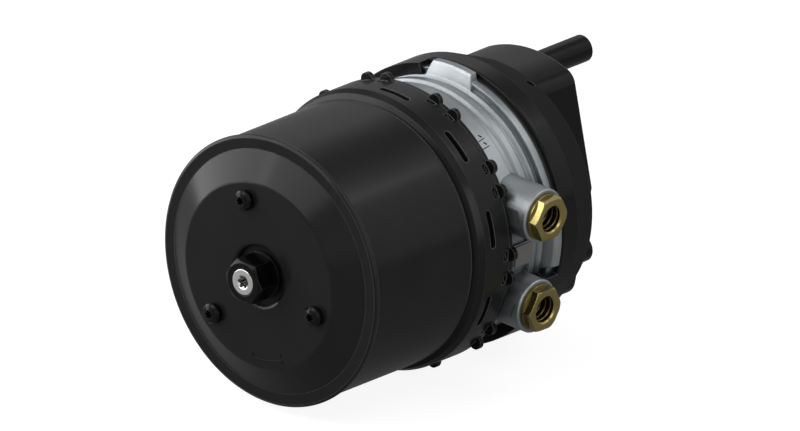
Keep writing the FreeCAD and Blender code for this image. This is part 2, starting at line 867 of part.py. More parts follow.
def make_port_fitting(label, side):
    """A brass hex fitting: chamfered hex, threaded shank and a bore right through."""
    corner = d.port_hex * (HEX_CORNER / 2)
    bevel = (corner - d.port_hex / 2) / 2
    shank_length = d.port_shank_length
    blank = turned(
        f"{label}_blank",
        [
            (0, 0),
            (0, corner),
            (d.port_hex_height - bevel, corner),
            (d.port_hex_height, corner - bevel * 1.5),
            (d.port_hex_height, 0),
        ],
        0,
    )
    prism = hex_prism(f"{label}_hex", d.port_hex, d.port_hex_height, 0)
    hexagon = common(f"{label}_head", prism, blank)
    washer_sizes = {"Radius": corner - bevel / 4, "Height": d.port_flange}
    washer = primitive("Cylinder", f"{label}_washer", washer_sizes)
    shank_sizes = {"Radius": d.port_shank, "Height": shank_length}
    shank = primitive("Cylinder", f"{label}_shank", shank_sizes, y=-shank_length)
    solid = joined(f"{label}_solid", [hexagon, washer, shank])
    mouth = d.port_mouth
    bore = turned(
        f"{label}_bore",
        [
            (-shank_length - mouth, 0),
            (-shank_length - mouth, d.port_bore),
            (d.port_hex_height - mouth, d.port_bore),
            (d.port_hex_height + mouth, d.port_bore + mouth * 2),
            (d.port_hex_height + mouth, 0),
        ],
        0,
    )
    fitting = without(label, solid, bore)
    outward = Rotation(Vector(0, 0, 1), -QUARTER_TURN)
    on_flange(fitting, boss_reach, d.port_spacing * (side / 2), front + port_station, outward)
    return fitting


def make_port_seals():
    """The two O-rings under the fittings' hexes."""
    rings = []
    for side in (-1, 1):
        ring = doc.addObject("Part::Torus", f"port_seal_{'lower' if side < 0 else 'upper'}")
        bind(ring, "Radius1", d.port_shank + d.port_seal_wire + d.running_gap * 2)
        bind(ring, "Radius2", d.port_seal_wire)
        reach = boss_reach - d.port_seal_wire
        outward = Rotation(Vector(0, 1, 0), QUARTER_TURN)
        on_flange(ring, reach, d.port_spacing * (side / 2), front + port_station, outward)
        rings.append(ring)
    return compound("port_seals", rings)


def compound(label, pieces):
    thing = doc.addObject("Part::Compound", label)
    thing.Links = pieces
    thing.Label = label
    return thing


def make_tag_plate():
    """A blank plate on its seat between the port bosses."""
    plate = doc.addObject("Part::Box", "tag_plate")
    plate.Label = "tag_plate"
    bind(plate, "Length", d.tag_thickness)
    bind(plate, "Width", d.tag_length)
    bind(plate, "Height", d.tag_height)
    start = front + tag_station - d.tag_length / 2
    on_flange(plate, tag_reach - d.tag_thickness, -d.tag_height / 2, start)
    return plate


def draw_rear_outline(sketch, radius, half_top, half_middle):
    """Top and bottom arcs about the axis, joined on each side by two flats that meet at mid height."""
    radius, half_top, half_middle = size(radius), size(half_top), size(half_middle)
    reach, wide = half_top.value, half_middle.value
    height = math.sqrt(radius.value**2 - reach**2)
    arcs = []
    for side in (1, -1):
        places = ((side * reach, side * height), (0, side * radius.value), (-side * reach, side * height))
        arcs.append(sketch.addGeometry(Part.Arc(*(Vector(u, v, 0) for u, v in places))))
    top, bottom = arcs
    flats = []
    for side in (-1, 1):
        corners = [(side * reach, -side * height), (side * wide, 0), (side * reach, side * height)]
        for number in range(2):
            flats.append(sketch.addGeometry(flat_line(corners[number], corners[number + 1])))
    left, right = flats[:2], flats[2:]
    chain = [top, *left, bottom, *right]
    for one, other in zip(chain, chain[1:] + chain[:1]):
        sketch.addConstraint(Sketcher.Constraint("Coincident", one, 2, other, 1))
    for arc in (top, bottom):
        sketch.addConstraint(Sketcher.Constraint("Coincident", arc, 3, -1, 1))
    number = sketch.addConstraint(Sketcher.Constraint("Radius", top, radius.value))
    sketch.setExpression(f"Constraints[{number}]", radius.text)
    sketch.addConstraint(Sketcher.Constraint("Equal", top, bottom))
    arc_ends = ((top, 1, half_top), (top, 2, -half_top), (bottom, 1, -half_top), (bottom, 2, half_top))
    for item, point, value in arc_ends:
        number = sketch.addConstraint(Sketcher.Constraint("DistanceX", -1, 1, item, point, value.value))
        sketch.setExpression(f"Constraints[{number}]", value.text)
    for item, value in ((left[0], -half_middle), (right[0], half_middle)):
        sketch.addConstraint(Sketcher.Constraint("PointOnObject", item, 2, -1))
        number = sketch.addConstraint(Sketcher.Constraint("DistanceX", -1, 1, item, 2, value.value))
        sketch.setExpression(f"Constraints[{number}]", value.text)


def straight_edges(shape, spots):
    """The names of the straight edges along the axis that pass through the given (X, Z) places."""
    names = []
    for number, edge in enumerate(shape.Edges, start=1):
        if not isinstance(edge.Curve, (Part.Line, Part.LineSegment)):
            continue
        one, other = edge.Vertexes[0].Point, edge.Vertexes[-1].Point
        if math.hypot(one.x - other.x, one.z - other.z) > 0.01:
            continue
        for x, z in spots:
            if math.hypot(one.x - x, one.z - z) < 0.01:
                names.append(f"Edge{number}")
    return names


def soften_corners(body, name, radius, half_top, corner):
    """Round the four upright corners of an oval outline."""
    doc.recompute()
    radius, half_top = size(radius), size(half_top)
    height = math.sqrt(radius.value**2 - half_top.value**2)
    spots = [(sx * half_top.value, sz * height) for sx in (-1, 1) for sz in (-1, 1)]
    base = body.Tip
    names = straight_edges(base.Shape, spots)
    if len(names) < 4:
        raise ValueError(f"corners of {name} not found")
    feature = body.newObject("PartDesign::Fillet", f"{body.Name}_{name}")
    feature.Base = (base, names)
    bind(feature, "Radius", corner)
    return feature


def make_service_housing():
    """The rear pot: open ring, cone, and a neck flattened on both sides up to the mounting face."""
    body = new_body("service_housing")
    wall = d.housing_wall
    plan = new_sketch(body, "neck_plan", "XZ_Plane", offset=-cone_end + d.bead_thickness)
    draw_rear_outline(plan, rear_radius, d.rear_half_top, d.rear_half_middle)
    pad(body, "neck", plan, total_length - cone_end + d.bead_thickness, reverse=True)
    soften_corners(body, "neck_corners", rear_radius, d.rear_half_top, d.rear_corner)
    doc.recompute()
    base = body.Tip
    rear_edges = []
    for number, edge in enumerate(base.Shape.Edges, start=1):
        ends = [vertex.Point.y for vertex in edge.Vertexes]
        if min(ends) > total_length.value - 0.01:
            rear_edges.append(f"Edge{number}")
    rounding = body.newObject("PartDesign::Fillet", "service_housing_rear_edge")
    rounding.Base = (base, rear_edges)
    bind(rounding, "Radius", d.rear_edge)
    inner_ring = ring_radius - d.ring_wall
    shell = [
        (ring_front, inner_ring),
        (ring_front, ring_radius),
        (ring_end, ring_radius),
        (cone_end, cone_radius),
        (cone_end, 0),
        (bead_rear, 0),
        (bead_rear, inner_ring),
    ]
    revolve(body, "drum", shell)
    soften(body, "cone_round", [(cone_end, cone_radius)], d.rear_edge / 4)
    soften(body, "ring_round", [(ring_end, ring_radius)], d.rear_edge / 4)
    soften(body, "front_round", [(ring_front, ring_radius)], d.ring_wall / 2)
    cavity = [
        (bead_rear - 1, 0),
        (bead_rear - 1, dish_mouth),
        (bead_rear, dish_mouth),
        (ring_end, ring_radius - wall * 2),
        (cone_end - wall, cone_radius - wall * 1.4),
        (cone_end - wall, 0),
    ]
    revolve(body, "cavity", cavity, cut=True)
    inner = new_sketch(body, "inside_plan", "XZ_Plane", offset=-cone_end + wall * 2)
    inner_radius = rear_radius - wall
    inner_top = d.rear_half_top - wall
    draw_rear_outline(inner, inner_radius, inner_top, d.rear_half_middle - wall)
    pocket(body, "inside", inner, rear_inside - cone_end + wall * 2)
    mouth = new_sketch(body, "mouth_plan", "XZ_Plane", offset=-total_length)
    draw_circle(mouth, (0, 0), d.mouth_radius)
    pocket(body, "mouth", mouth, d.rear_wall * 2, reverse=True)
    holes = new_sketch(body, "stud_plan", "XZ_Plane", offset=-total_length)
    for side in (-1, 1):
        draw_circle(holes, (0, d.stud_spacing * (side / 2)), d.stud_neck_radius + d.running_gap)
    pocket(body, "stud_holes", holes, d.rear_wall * 1.2, reverse=True)
    groove = ring_section(
        total_length - d.face_seal_wire * 2,
        total_length + 1,
        d.face_seal_radius - d.face_seal_wire - d.running_gap,
        d.face_seal_radius + d.face_seal_wire + d.running_gap,
    )
    revolve(body, "seal_groove", groove, cut=True)
    drill_vents(body)
    make_lips(body)
    put(body, front)
    return body


def drill_vents(body):
    """Four vent holes through the neck where the cone ends."""
    angles = (d.vent_angle, 180 - d.vent_angle, 180 + d.vent_angle, -d.vent_angle)
    for number, angle in enumerate(angles):
        plan = new_sketch(body, f"vent_{number}_plan", "XY_Plane", turn=-QUARTER_TURN - angle.value)
        draw_circle(plan, (0, vent_station), d.vent_radius)
        pocket(body, f"vent_{number}", plan, ring_radius)


def make_lips(body):
    """Three crimped lips over the flange's rim, between the lugs but not above the ports."""
    section = [
        (rim_front - d.fitting_gap, lip_radius),
        (rim_front - d.fitting_gap, ring_radius - d.ring_wall),
        (ring_front + d.ring_wall, ring_radius - d.ring_wall),
        (ring_front + d.ring_wall, ring_radius),
        (rim_front - d.lip_thickness, ring_radius),
        (rim_front - d.lip_thickness, lip_radius),
    ]
    between = d.flange_turn.value + d.lug_turn.value + EIGHTH_TURN
    for number, quadrant in enumerate((1, 2, 3)):
        lip = revolve(body, f"lip_{number}", section, angle=d.lip_angle)
        sketch = lip.Profile[0]
        turn = QUARTER_TURN - between - QUARTER_TURN * quadrant
        sketch.AttachmentOffset = Placement(Vector(0, 0, 0), Rotation(Vector(1, 0, 0), turn))


def make_studs():
    """Two plain studs with collars inside the housing and necks in its wall."""
    studs = []
    for name, side in (("lower_stud", -1), ("upper_stud", 1)):
        stud = turned(
            name,
            [
                (-d.stud_collar, 0),
                (-d.stud_collar, d.stud_collar_radius),
                (0, d.stud_collar_radius),
                (0, d.stud_neck_radius),
                (d.rear_wall, d.stud_neck_radius),
                (d.rear_wall, d.stud_radius),
                (d.rear_wall + d.stud_length - d.stud_tip, d.stud_radius),
                (d.rear_wall + d.stud_length, d.stud_radius - d.stud_tip),
                (d.rear_wall + d.stud_length, 0),
            ],
            0,
        )
        put(stud, front + rear_inside, z=d.stud_spacing * (side / 2))
        studs.append(stud)
    return compound("mounting_studs", studs)


def make_diaphragm():
    """The rubber diaphragm at rest in the flange's dish, with its bead clamped behind the rim."""
    near = dish_station + d.seat_gap
    knee = dish_radius - d.seat_gap
    section = [
        (near, 0),
        (near, knee),
        (rim_rear - d.fitting_gap * 10 + d.seat_gap, dish_mouth - d.seat_gap * 2),
        (rim_rear, dish_mouth),
        (rim_rear, rim_radius),
        (bead_rear, rim_radius),
        (bead_rear, dish_mouth - d.rubber),
        (rim_rear + d.rubber / 2, dish_mouth - d.rubber * 1.2),
        (near + d.rubber, knee - d.rubber * 0.6),
        (near + d.rubber, 0),
    ]
    return turned("diaphragm", section, front)


def make_push_plate():
    section = ring_section(plate_front, plate_rear, rivet_radius, d.plate_radius)
    body = turned("push_plate", section, front)
    soften(body, "edge", [(plate_rear, d.plate_radius)], d.plate_thickness / 3)
    put(body, front)
    return body


def make_pushrod():
    """The rod riveted to the plate, with a ball end that stands out of the mounting face."""
    end = total_length + d.rod_proud
    body = turned(
        "pushrod",
        [
            (plate_front, 0),
            (plate_front, rivet_radius),
            (plate_rear, rivet_radius),
            (plate_rear, d.rod_radius),
            (end, d.rod_radius),
            (end, 0),
        ],
        front,
    )
    soften(body, "ball_end", [(end, d.rod_radius)], d.rod_radius * 0.92)
    put(body, front)
    return body


def coil(label, start, rise, start_radius, end_radius, turns, wire):
    """A round-wire compression spring about the chamber's axis, straight or conical."""
    body = new_body(label)
    sketch = new_sketch(body, "wire", "YZ_Plane")
    corners = []
    for number in range(WIRE_SIDES):
        angle = math.tau * (number + 0.5) / WIRE_SIDES
        corners.append((wire * (1 + math.cos(angle)), start_radius + wire * math.sin(angle)))
    draw_polygon(sketch, corners)
    helix = body.newObject("PartDesign::AdditiveHelix", f"{label}_coil")
    helix.Profile = sketch
    helix.ReferenceAxis = axis_link(body, "Y_Axis")
    helix.Mode = "height-turns-growth"
    bind(helix, "Height", rise)
    bind(helix, "Turns", turns)
    bind(helix, "Growth", (size(end_radius) - start_radius) / turns)
    put(body, front + start)
    return body


def make_return_spring():
    start = plate_rear + d.seat_gap / 2
    rise = rear_inside - d.seat_gap / 2 - start - d.return_wire * 2
    radius = d.return_radius
    return coil("return_spring", start, rise, radius, radius, d.return_turns, d.return_wire)


def make_power_spring():
    start = d.pot_wall + d.bearing_plate + d.seat_gap / 2
    rise = d.crown_front - d.seat_gap / 2 - start - d.power_wire * 2
    small, large = d.power_front_radius, power_rear_radius
    return coil("power_spring", start, rise, small, large, d.power_turns, d.power_wire)


def make_boot_ring():
    """The thin steel ring in the mouth that holds the boot's bead."""
    outer = d.mouth_radius - d.running_gap
    inner = outer - d.boot_ring_wall
    begin = total_length - d.boot_ring_depth
    section = [
        (begin, inner - d.boot_wall),
        (begin, outer),
        (total_length, outer),
        (total_length, inner),
        (begin + d.boot_ring_wall, inner),
        (begin + d.boot_ring_wall, inner - d.boot_wall),
    ]
    return turned("boot_ring", section, front)


def make_dust_boot():
    """The rubber boot between the ring in the mouth and the rod, folded once into the housing."""
    wall = d.boot_wall
    bead_outer = d.mouth_radius - d.running_gap * 2 - d.boot_ring_wall
    bead_front = total_length - d.boot_ring_depth + d.boot_ring_wall + d.running_gap
    bead_rear_end = total_length - wall
    outer_leg = bead_outer - wall - d.fitting_gap
    lip_inner = d.rod_radius + d.running_gap * 2
    inner_leg = lip_inner + wall * 1.2
    lip_rear = total_length + d.rod_proud / 3
    fold = bead_front - d.boot_depth
    section = [
        (bead_rear_end, bead_outer),
        (bead_rear_end, outer_leg - wall),
        (fold + wall, outer_leg - wall * 2),
        (fold + wall, inner_leg + wall * 1.6),
        (lip_rear - wall, inner_leg + wall * 0.8),
        (lip_rear, inner_leg),
        (lip_rear, lip_inner),
        (lip_rear - d.boot_lip, lip_inner),
        (lip_rear - d.boot_lip, inner_leg - wall / 4),
        (fold + wall / 2, inner_leg + wall * 0.6),
        (fold, inner_leg + wall * 1.4),
        (fold, outer_leg - wall * 1.8),
        (fold + wall / 2, outer_leg - wall),
        (bead_front, outer_leg),
        (bead_front, bead_outer),
    ]
    return turned("dust_boot", section, front)


def make_face_seal():
    """The seal ring in the mounting face's groove."""
    ring = primitive(
        "Torus",
        "face_seal",
        {"Radius1": d.face_seal_radius, "Radius2": d.face_seal_wire},
        y=-d.face_seal_wire,
    )
    ring.Label = "face_seal"
    return ring


def make_flange_ring_seal():
    """The O-ring between the spigot and the collar."""
    wire = (d.ring_groove_depth + d.fitting_gap) / 2
    ring = primitive(
        "Torus",
        "flange_o_ring",
        {"Radius1": collar_bore - wire, "Radius2": wire},
        y=front + collar_front + d.ring_groove_inset + d.ring_groove_width / 2,
    )
    ring.Label = "flange_o_ring"
    return ring


def make_piston():
    """The spring piston: land with seal and guide grooves, skirt, crown and the boss that takes the tube."""
    land = bore_radius - d.running_gap
    land_rear = d.piston_land_front + d.piston_land_length
    seal_front = d.piston_land_front + d.seal_width / 2
    seal_rear = seal_front + d.seal_width
    guide_front = seal_rear + d.guide_width / 2
    guide_rear = guide_front + d.guide_width
    crown_rear = d.crown_front + d.crown_thickness
    tube_seat = d.crown_front + d.crown_web
    section = [
        (d.piston_land_front, piston_body_radius - d.piston_wall),
        (d.piston_land_front, land),
        (seal_front, land),
        (seal_front, land - d.seal_depth),
        (seal_rear, land - d.seal_depth),
        (seal_rear, land),
        (guide_front, land),
        (guide_front, land - d.guide_depth),
        (guide_rear, land - d.guide_depth),
        (guide_rear, land),
        (land_rear, land),
        (land_rear, piston_body_radius),
        (crown_rear, piston_body_radius),
        (crown_rear, d.crown_boss_radius),
        (crown_rear + d.crown_boss_length, d.crown_boss_radius),
        (crown_rear + d.crown_boss_length, d.tube_radius + d.running_gap),
        (tube_seat, d.tube_radius + d.running_gap),
        (tube_seat, d.bolt_hole),
        (d.crown_front, d.bolt_hole),
        (d.crown_front, piston_body_radius - d.piston_wall),
    ]
    body = turned("spring_piston", section, front)
    soften(body, "skirt_round", [(crown_rear, piston_body_radius)], d.piston_wall * 0.8)
    put(body, front)
    return body


def make_piston_rings():
    """The piston's seal and guide ring in their grooves."""
    land = bore_radius - d.running_gap * 2
    gap = d.running_gap
    seal_front = d.piston_land_front + d.seal_width / 2
    guide_front = seal_front + d.seal_width + d.guide_width / 2
    seal = turned(
        "piston_seal",
        ring_section(gap, d.seal_width - gap, land - d.seal_depth + gap * 2, land),
        front + seal_front,
    )
    guide = turned(
        "piston_guide_ring",
        ring_section(gap, d.guide_width - gap, land - d.guide_depth + gap * 2, land),
        front + guide_front,
    )
    return seal, guide


def make_push_tube():
    """The tube pressed into the piston's boss, grooved for its snap ring."""
    begin = d.crown_front + d.crown_web
    end = dish_station - d.tube_plug / 3 - d.fitting_gap
    snap_front = d.crown_front + d.crown_thickness + d.crown_boss_length + d.fitting_gap
    snap_rear = snap_front + d.snap_wire * 2
    section = [
        (begin, tube_bore),
        (begin, d.tube_radius),
        (snap_front, d.tube_radius),
        (snap_front, d.tube_radius - d.snap_wire),
        (snap_rear, d.tube_radius - d.snap_wire),
        (snap_rear, d.tube_radius),
        (end, d.tube_radius),
        (end, tube_bore),
    ]
    tube = turned("push_tube", section, front)
    ring = turned(
        "tube_snap_ring",
        ring_section(0, d.snap_wire * 2, d.tube_radius - d.snap_wire, d.tube_radius + d.snap_wire),
        front + snap_front,
    )
    plug = turned(
        "tube_plug",
        [
            (-d.tube_plug, 0),
            (-d.tube_plug, tube_bore - d.running_gap),
            (0, tube_bore - d.running_gap),
            (0, d.tube_radius),
            (d.tube_plug / 3, d.tube_radius),
            (d.tube_plug / 3, 0),
        ],
        front + end,
    )
    return tube, ring, plug


def make_hub_parts():
    """The bush that guides the tube and the lip seal in front of it."""
    inner = d.tube_radius + d.running_gap
    bush = turned(
        "hub_bush",
        ring_section(-d.bush_length, 0, inner, hub_bore),
        front + dish_station,
    )
    seal = turned(
        "tube_seal",
        ring_section(0, d.tube_seal_width, inner, hub_bore),
        front + hub_front + d.fitting_gap,
    )
    return bush, seal


def make_bearing_plate():
    """The plate behind the housing's face that carries the release bolt and takes the cover screws."""
    inner = d.bolt_radius + d.running_gap
    section = [
        (0, inner),
        (0, bearing_plate_radius),
        (d.bearing_plate, bearing_plate_radius),
        (d.bearing_plate, d.bearing_boss_radius),
        (d.bearing_plate + d.bearing_boss, d.bearing_boss_radius),
        (d.bearing_plate + d.bearing_boss, inner),
    ]
    body = turned("bearing_plate", section, front + d.pot_wall)
    holes = new_sketch(body, "screw_holes_plan", "XZ_Plane")
    for number in range(int(d.screw_count.value)):
        x, z = around(screw_circle, d.screw_turn.value + number * 360 / d.screw_count.value)
        draw_circle(holes, (x, z), d.screw_radius + d.running_gap)
    pocket(body, "screw_holes", holes)
    return body


def make_release_bolt():
    """The hex-headed release bolt, bored for its insert and cross-drilled for the nut's pin."""
    corner = d.bolt_hex * (HEX_CORNER / 2)
    head = d.bolt_proud + d.pot_wall - d.washer_thickness
    bevel = d.bolt_hex / 16
    blank = turned(
        "release_bolt_blank",
        [
            (0, 0),
            (0, d.bolt_hex / 2 - bevel / 2),
            (bevel, corner),
            (head, corner),
            (head, 0),
        ],
        front - d.bolt_proud,
    )
    hexagon = hex_prism("release_bolt_hex", d.bolt_hex, head, front - d.bolt_proud, d.bolt_turn.value)
    cap = common("release_bolt_cap", hexagon, blank)
    shank = primitive(
        "Cylinder",
        "release_bolt_shank",
        {"Radius": d.bolt_radius, "Height": bolt_end + d.bolt_proud - head / 2},
        y=front - d.bolt_proud + head / 2,
    )
    solid = joined("release_bolt_solid", [cap, shank])
    recess = primitive(
        "Cylinder",
        "release_bolt_recess",
        {"Radius": d.insert_radius + d.running_gap, "Height": d.insert_depth},
        y=front - d.bolt_proud,
    )
    bored = without("release_bolt_bored", solid, recess)
    return without("release_bolt", bored, cross_pin("release_bolt_pin_hole", d.running_gap))


def cross_pin(label, gap):
    """A pin along X through the middle of the release nut."""
    pin = doc.addObject("Part::Cylinder", label)
    pin.Label = label
    bind(pin, "Radius", d.pin_radius + gap)
    bind(pin, "Height", nut_radius * 2)
    pin.Placement = Placement(Vector(0, 0, 0), Rotation(Vector(0, 1, 0), QUARTER_TURN))
    bind(pin, "Placement.Base.x", -nut_radius)
    bind(pin, "Placement.Base.y", front + nut_front + d.nut_length / 2)
    return pin


def make_release_insert():
    """The star-drive insert in the bolt's head."""
    edge = d.star_entry / 2
    plug = turned(
        "release_insert_plug",
        [
            (d.star_entry, 0),
            (d.star_entry, d.star_radius - d.star_entry),
            (0, d.star_radius + edge),
            (0, d.insert_radius - edge),
            (edge, d.insert_radius),
            (d.insert_depth, d.insert_radius),
            (d.insert_depth, 0),
        ],
        front - d.bolt_proud,
    )
    star = star_bar("release_insert_star", d.star_radius, d.star_depth, front - d.bolt_proud)
    return without("release_insert", plug, star)


def make_release_nut():
    """The round nut pinned near the bolt's end, inside the push tube."""
    nut = turned(
        "release_nut_blank",
        ring_section(0, d.nut_length, d.bolt_radius + d.running_gap, nut_radius),
        front + nut_front,
    )
    return without("release_nut", nut, cross_pin("release_nut_pin_hole", d.running_gap))


def make_thrust_washer():
    return turned(
        "thrust_washer",
        ring_section(0, d.washer_thickness, d.bolt_radius + d.running_gap, d.washer_radius),
        front + d.pot_wall - d.washer_thickness,
    )


def make_cover_screws():
    """Button-head star screws round the face, into the bearing plate behind it."""
    screws = []
    count = int(d.screw_count.value)
    for number in range(count):
        x, z = around(screw_circle, d.screw_turn.value + number * 360 / count)
        name = f"cover_screw_{number + 1}"
        head = [(-d.screw_head_height * up, d.screw_head_radius * out) for up, out in BUTTON_OUTLINE]
        thread = [(0, d.screw_radius), (d.screw_length, d.screw_radius), (d.screw_length, 0)]
        blank = turned(f"{name}_blank", head + thread, 0)
        put(blank, front, x=x, z=z)
        head_front = front - d.screw_head_height
        star = star_bar(f"{name}_star", d.screw_star, d.screw_star_depth, head_front, x, z)
        screws.append(without(name, blank, star))
    return compound("cover_screws", screws)


nodes = [
    make_spring_housing(),
    make_lock_ring(),
    make_retaining_ring(),
    make_intermediate_flange(),
    make_port_fitting("upper_port_fitting", 1),
    make_port_fitting("lower_port_fitting", -1),
    make_port_seals(),
    make_tag_plate(),
    make_service_housing(),
    make_studs(),
    make_diaphragm(),
    make_push_plate(),
    make_pushrod(),
    make_return_spring(),
    make_power_spring(),
    make_boot_ring(),
    make_dust_boot(),
    make_face_seal(),
    make_flange_ring_seal(),
    make_piston(),
    *make_piston_rings(),
    *make_push_tube(),
    *make_hub_parts(),
    make_bearing_plate(),
    make_release_bolt(),
    make_release_insert(),
    make_release_nut(),
    cross_pin("nut_pin", 0),
    make_thrust_washer(),
    make_cover_screws(),
]
doc.recompute()

for thing in doc.Objects:
    if "Invalid" in thing.State or "Error" in thing.State:
        raise RuntimeError(f"{thing.Name} failed: {thing.State}")
    if thing.TypeId in ("PartDesign::Pocket", "PartDesign::Groove"):
        if thing.Shape.Volume >= thing.BaseFeature.Shape.Volume - 0.01:
            raise RuntimeError(f"{thing.Name} cuts nothing")

os.makedirs("parts", exist_ok=True)
for node in nodes:
    shape = node.Shape
    if shape.isNull() or not shape.isValid():
        raise RuntimeError(f"{node.Label} has no valid shape")
for node in nodes:
    node.Shape.exportStep(f"parts/{node.Label}.step")
    print(node.Label, len(node.Shape.Solids), round(node.Shape.Volume))
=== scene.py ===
# %% [markdown]
# # A double air brake chamber
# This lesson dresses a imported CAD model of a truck's air brake chamber. The steel pot in front holds a
# strong parking spring. The aluminium casting in the middle carries two brass air ports. The rear pot holds
# the service diaphragm, and its two studs bolt on to the brake caliper. The CAD gives every solid its true
# place, so each step here only adds finishes, fine detail and the soft pieces that bend.

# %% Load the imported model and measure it
import math

import bmesh
import bpy
from mathutils import Matrix, Vector


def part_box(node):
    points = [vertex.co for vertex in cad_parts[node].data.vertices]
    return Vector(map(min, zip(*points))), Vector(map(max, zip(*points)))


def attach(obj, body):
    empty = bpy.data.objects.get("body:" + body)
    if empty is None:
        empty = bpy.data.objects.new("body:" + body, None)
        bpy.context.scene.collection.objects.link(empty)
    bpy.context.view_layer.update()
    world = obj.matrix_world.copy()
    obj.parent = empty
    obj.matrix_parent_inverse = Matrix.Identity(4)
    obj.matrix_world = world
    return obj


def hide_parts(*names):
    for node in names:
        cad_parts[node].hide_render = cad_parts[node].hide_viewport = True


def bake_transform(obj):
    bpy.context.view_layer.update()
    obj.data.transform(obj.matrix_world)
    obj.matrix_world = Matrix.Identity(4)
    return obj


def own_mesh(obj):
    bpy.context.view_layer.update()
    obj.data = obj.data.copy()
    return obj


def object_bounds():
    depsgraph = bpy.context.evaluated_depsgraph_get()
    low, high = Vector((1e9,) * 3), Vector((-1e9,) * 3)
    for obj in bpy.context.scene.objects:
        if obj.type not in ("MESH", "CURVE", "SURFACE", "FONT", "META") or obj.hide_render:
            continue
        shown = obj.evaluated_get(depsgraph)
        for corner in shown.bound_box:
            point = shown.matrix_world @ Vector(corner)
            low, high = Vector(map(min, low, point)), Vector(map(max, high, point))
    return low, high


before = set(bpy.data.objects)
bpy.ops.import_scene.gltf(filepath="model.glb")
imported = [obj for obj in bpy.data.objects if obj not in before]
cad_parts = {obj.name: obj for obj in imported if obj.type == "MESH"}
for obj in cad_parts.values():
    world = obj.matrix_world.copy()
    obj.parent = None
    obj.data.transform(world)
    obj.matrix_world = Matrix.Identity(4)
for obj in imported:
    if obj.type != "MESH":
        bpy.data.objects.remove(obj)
cad_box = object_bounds()
scene = bpy.context.scene
MM = 0.001
FACE_Y = -0.234  # the plane of the front disc, and the zero from which the stations along the axis count
print("CAD box", [tuple(round(v, 4) for v in corner) for corner in cad_box])

# %% [markdown]
# ## Recipes for finishes
# A finish on the real part is never one flat colour. Paint has a fine orange-peel texture and thin spots, a
# casting has grain, and machined brass has turning lines. A painted picture could be wrapped around each
# piece, but a pattern made by nodes needs no unwrapping and stays sharp up close. Every recipe starts from
# Object coordinates. The model's objects all sit at the origin, so a pattern stays where it is put.

# %% Start a finish, and read a pattern in it
NOISE_SPAN = (0.3, 0.7)  # noise seldom leaves this span, so it is what gets stretched to the wanted range


def new_finish(name):
    material = bpy.data.materials.new(name)
    material.use_nodes = True
    tree = material.node_tree
    place = tree.nodes.new("ShaderNodeTexCoord")
    return material, tree, tree.nodes["Principled BSDF"], place.outputs["Object"]


def stretched(tree, vector, scale):
    mapping = tree.nodes.new("ShaderNodeMapping")
    mapping.inputs["Scale"].default_value = scale
    tree.links.new(vector, mapping.inputs["Vector"])
    return mapping.outputs["Vector"]


def noise(tree, vector, scale, detail=2.0, roughness=0.5):
    node = tree.nodes.new("ShaderNodeTexNoise")
    node.inputs["Scale"].default_value = scale
    node.inputs["Detail"].default_value = detail
    node.inputs["Roughness"].default_value = roughness
    tree.links.new(vector, node.inputs["Vector"])
    return node.outputs["Fac"]


print("noise is stretched from", NOISE_SPAN)

# %% Turn a value into another range, or into a colour
def remap(tree, value, low, high, to_low, to_high):
    node = tree.nodes.new("ShaderNodeMapRange")
    for label, number in (("From Min", low), ("From Max", high), ("To Min", to_low), ("To Max", to_high)):
        node.inputs[label].default_value = number
    tree.links.new(value, node.inputs["Value"])
    return node.outputs["Result"]


def blend_colours(tree, factor, one, other):
    node = tree.nodes.new("ShaderNodeMix")
    node.data_type = "RGBA"
    for socket, colour in (("A_Color", one), ("B_Color", other)):
        target = next(s for s in node.inputs if s.identifier == socket)
        if isinstance(colour, tuple):
            target.default_value = (*colour, 1.0)
        else:
            tree.links.new(colour, target)
    tree.links.new(factor, node.inputs["Factor"])
    return next(s for s in node.outputs if s.identifier == "Result_Color")


def clouded(tree, value, dark, light):
    return blend_colours(tree, remap(tree, value, *NOISE_SPAN, 0.0, 1.0), dark, light)


print("value and colour helpers ready")

# %% [markdown]
# ## Edges and hollows
# Light catches every edge of a real part, because no edge is perfectly sharp, and little light gets into its
# grooves. Both could be modelled or painted by hand. The Bevel node rounds the normal over an edge instead,
# and where that differs from the flat normal, the colour is lightened as a painted highlight. Ambient
# Occlusion finds hollows, whose colour is darkened as painted shade.

# %% Small bumps, rounded edges, edges with a painted highlight and hollows with painted shade
SHUT_IN, OPEN_AIR = 0.20, 0.85
AT_THE_EDGE, ON_THE_FLAT = 0.90, 0.992
EDGE_SAMPLES, HOLLOW_SAMPLES = 6, 8


def raise_surface(tree, height, distance, below=None):
    node = tree.nodes.new("ShaderNodeBump")
    node.inputs["Distance"].default_value = distance
    node.inputs["Strength"].default_value = 1.0
    tree.links.new(height, node.inputs["Height"])
    if below is not None:
        tree.links.new(below, node.inputs["Normal"])
    return node.outputs["Normal"]


def rounded_edges(tree, radius):
    node = tree.nodes.new("ShaderNodeBevel")
    node.samples = EDGE_SAMPLES
    node.inputs["Radius"].default_value = radius
    return node.outputs["Normal"]


def lighten_edges(tree, colour, rounded, light):
    surface = tree.nodes.new("ShaderNodeNewGeometry")
    likeness = tree.nodes.new("ShaderNodeVectorMath")
    likeness.operation = "DOT_PRODUCT"
    tree.links.new(surface.outputs["Normal"], likeness.inputs[0])
    tree.links.new(rounded, likeness.inputs[1])
    # painted highlight: the colour turns paler where the rounded normal leaves the flat one, as if light
    # caught the edge
    edge = remap(tree, likeness.outputs["Value"], AT_THE_EDGE, ON_THE_FLAT, 1.0, 0.0)
    return blend_colours(tree, edge, colour, light)


def shade_hollows(tree, colour, dark, distance):
    node = tree.nodes.new("ShaderNodeAmbientOcclusion")
    node.samples = HOLLOW_SAMPLES
    node.inputs["Distance"].default_value = distance
    # painted shade: the colour goes dark where Ambient Occlusion finds the surface shut in
    openness = remap(tree, node.outputs["AO"], SHUT_IN, OPEN_AIR, 0.0, 1.0)
    return blend_colours(tree, openness, dark, colour)


print("hollows are darkest below", SHUT_IN, "and edges lightest below", AT_THE_EDGE)
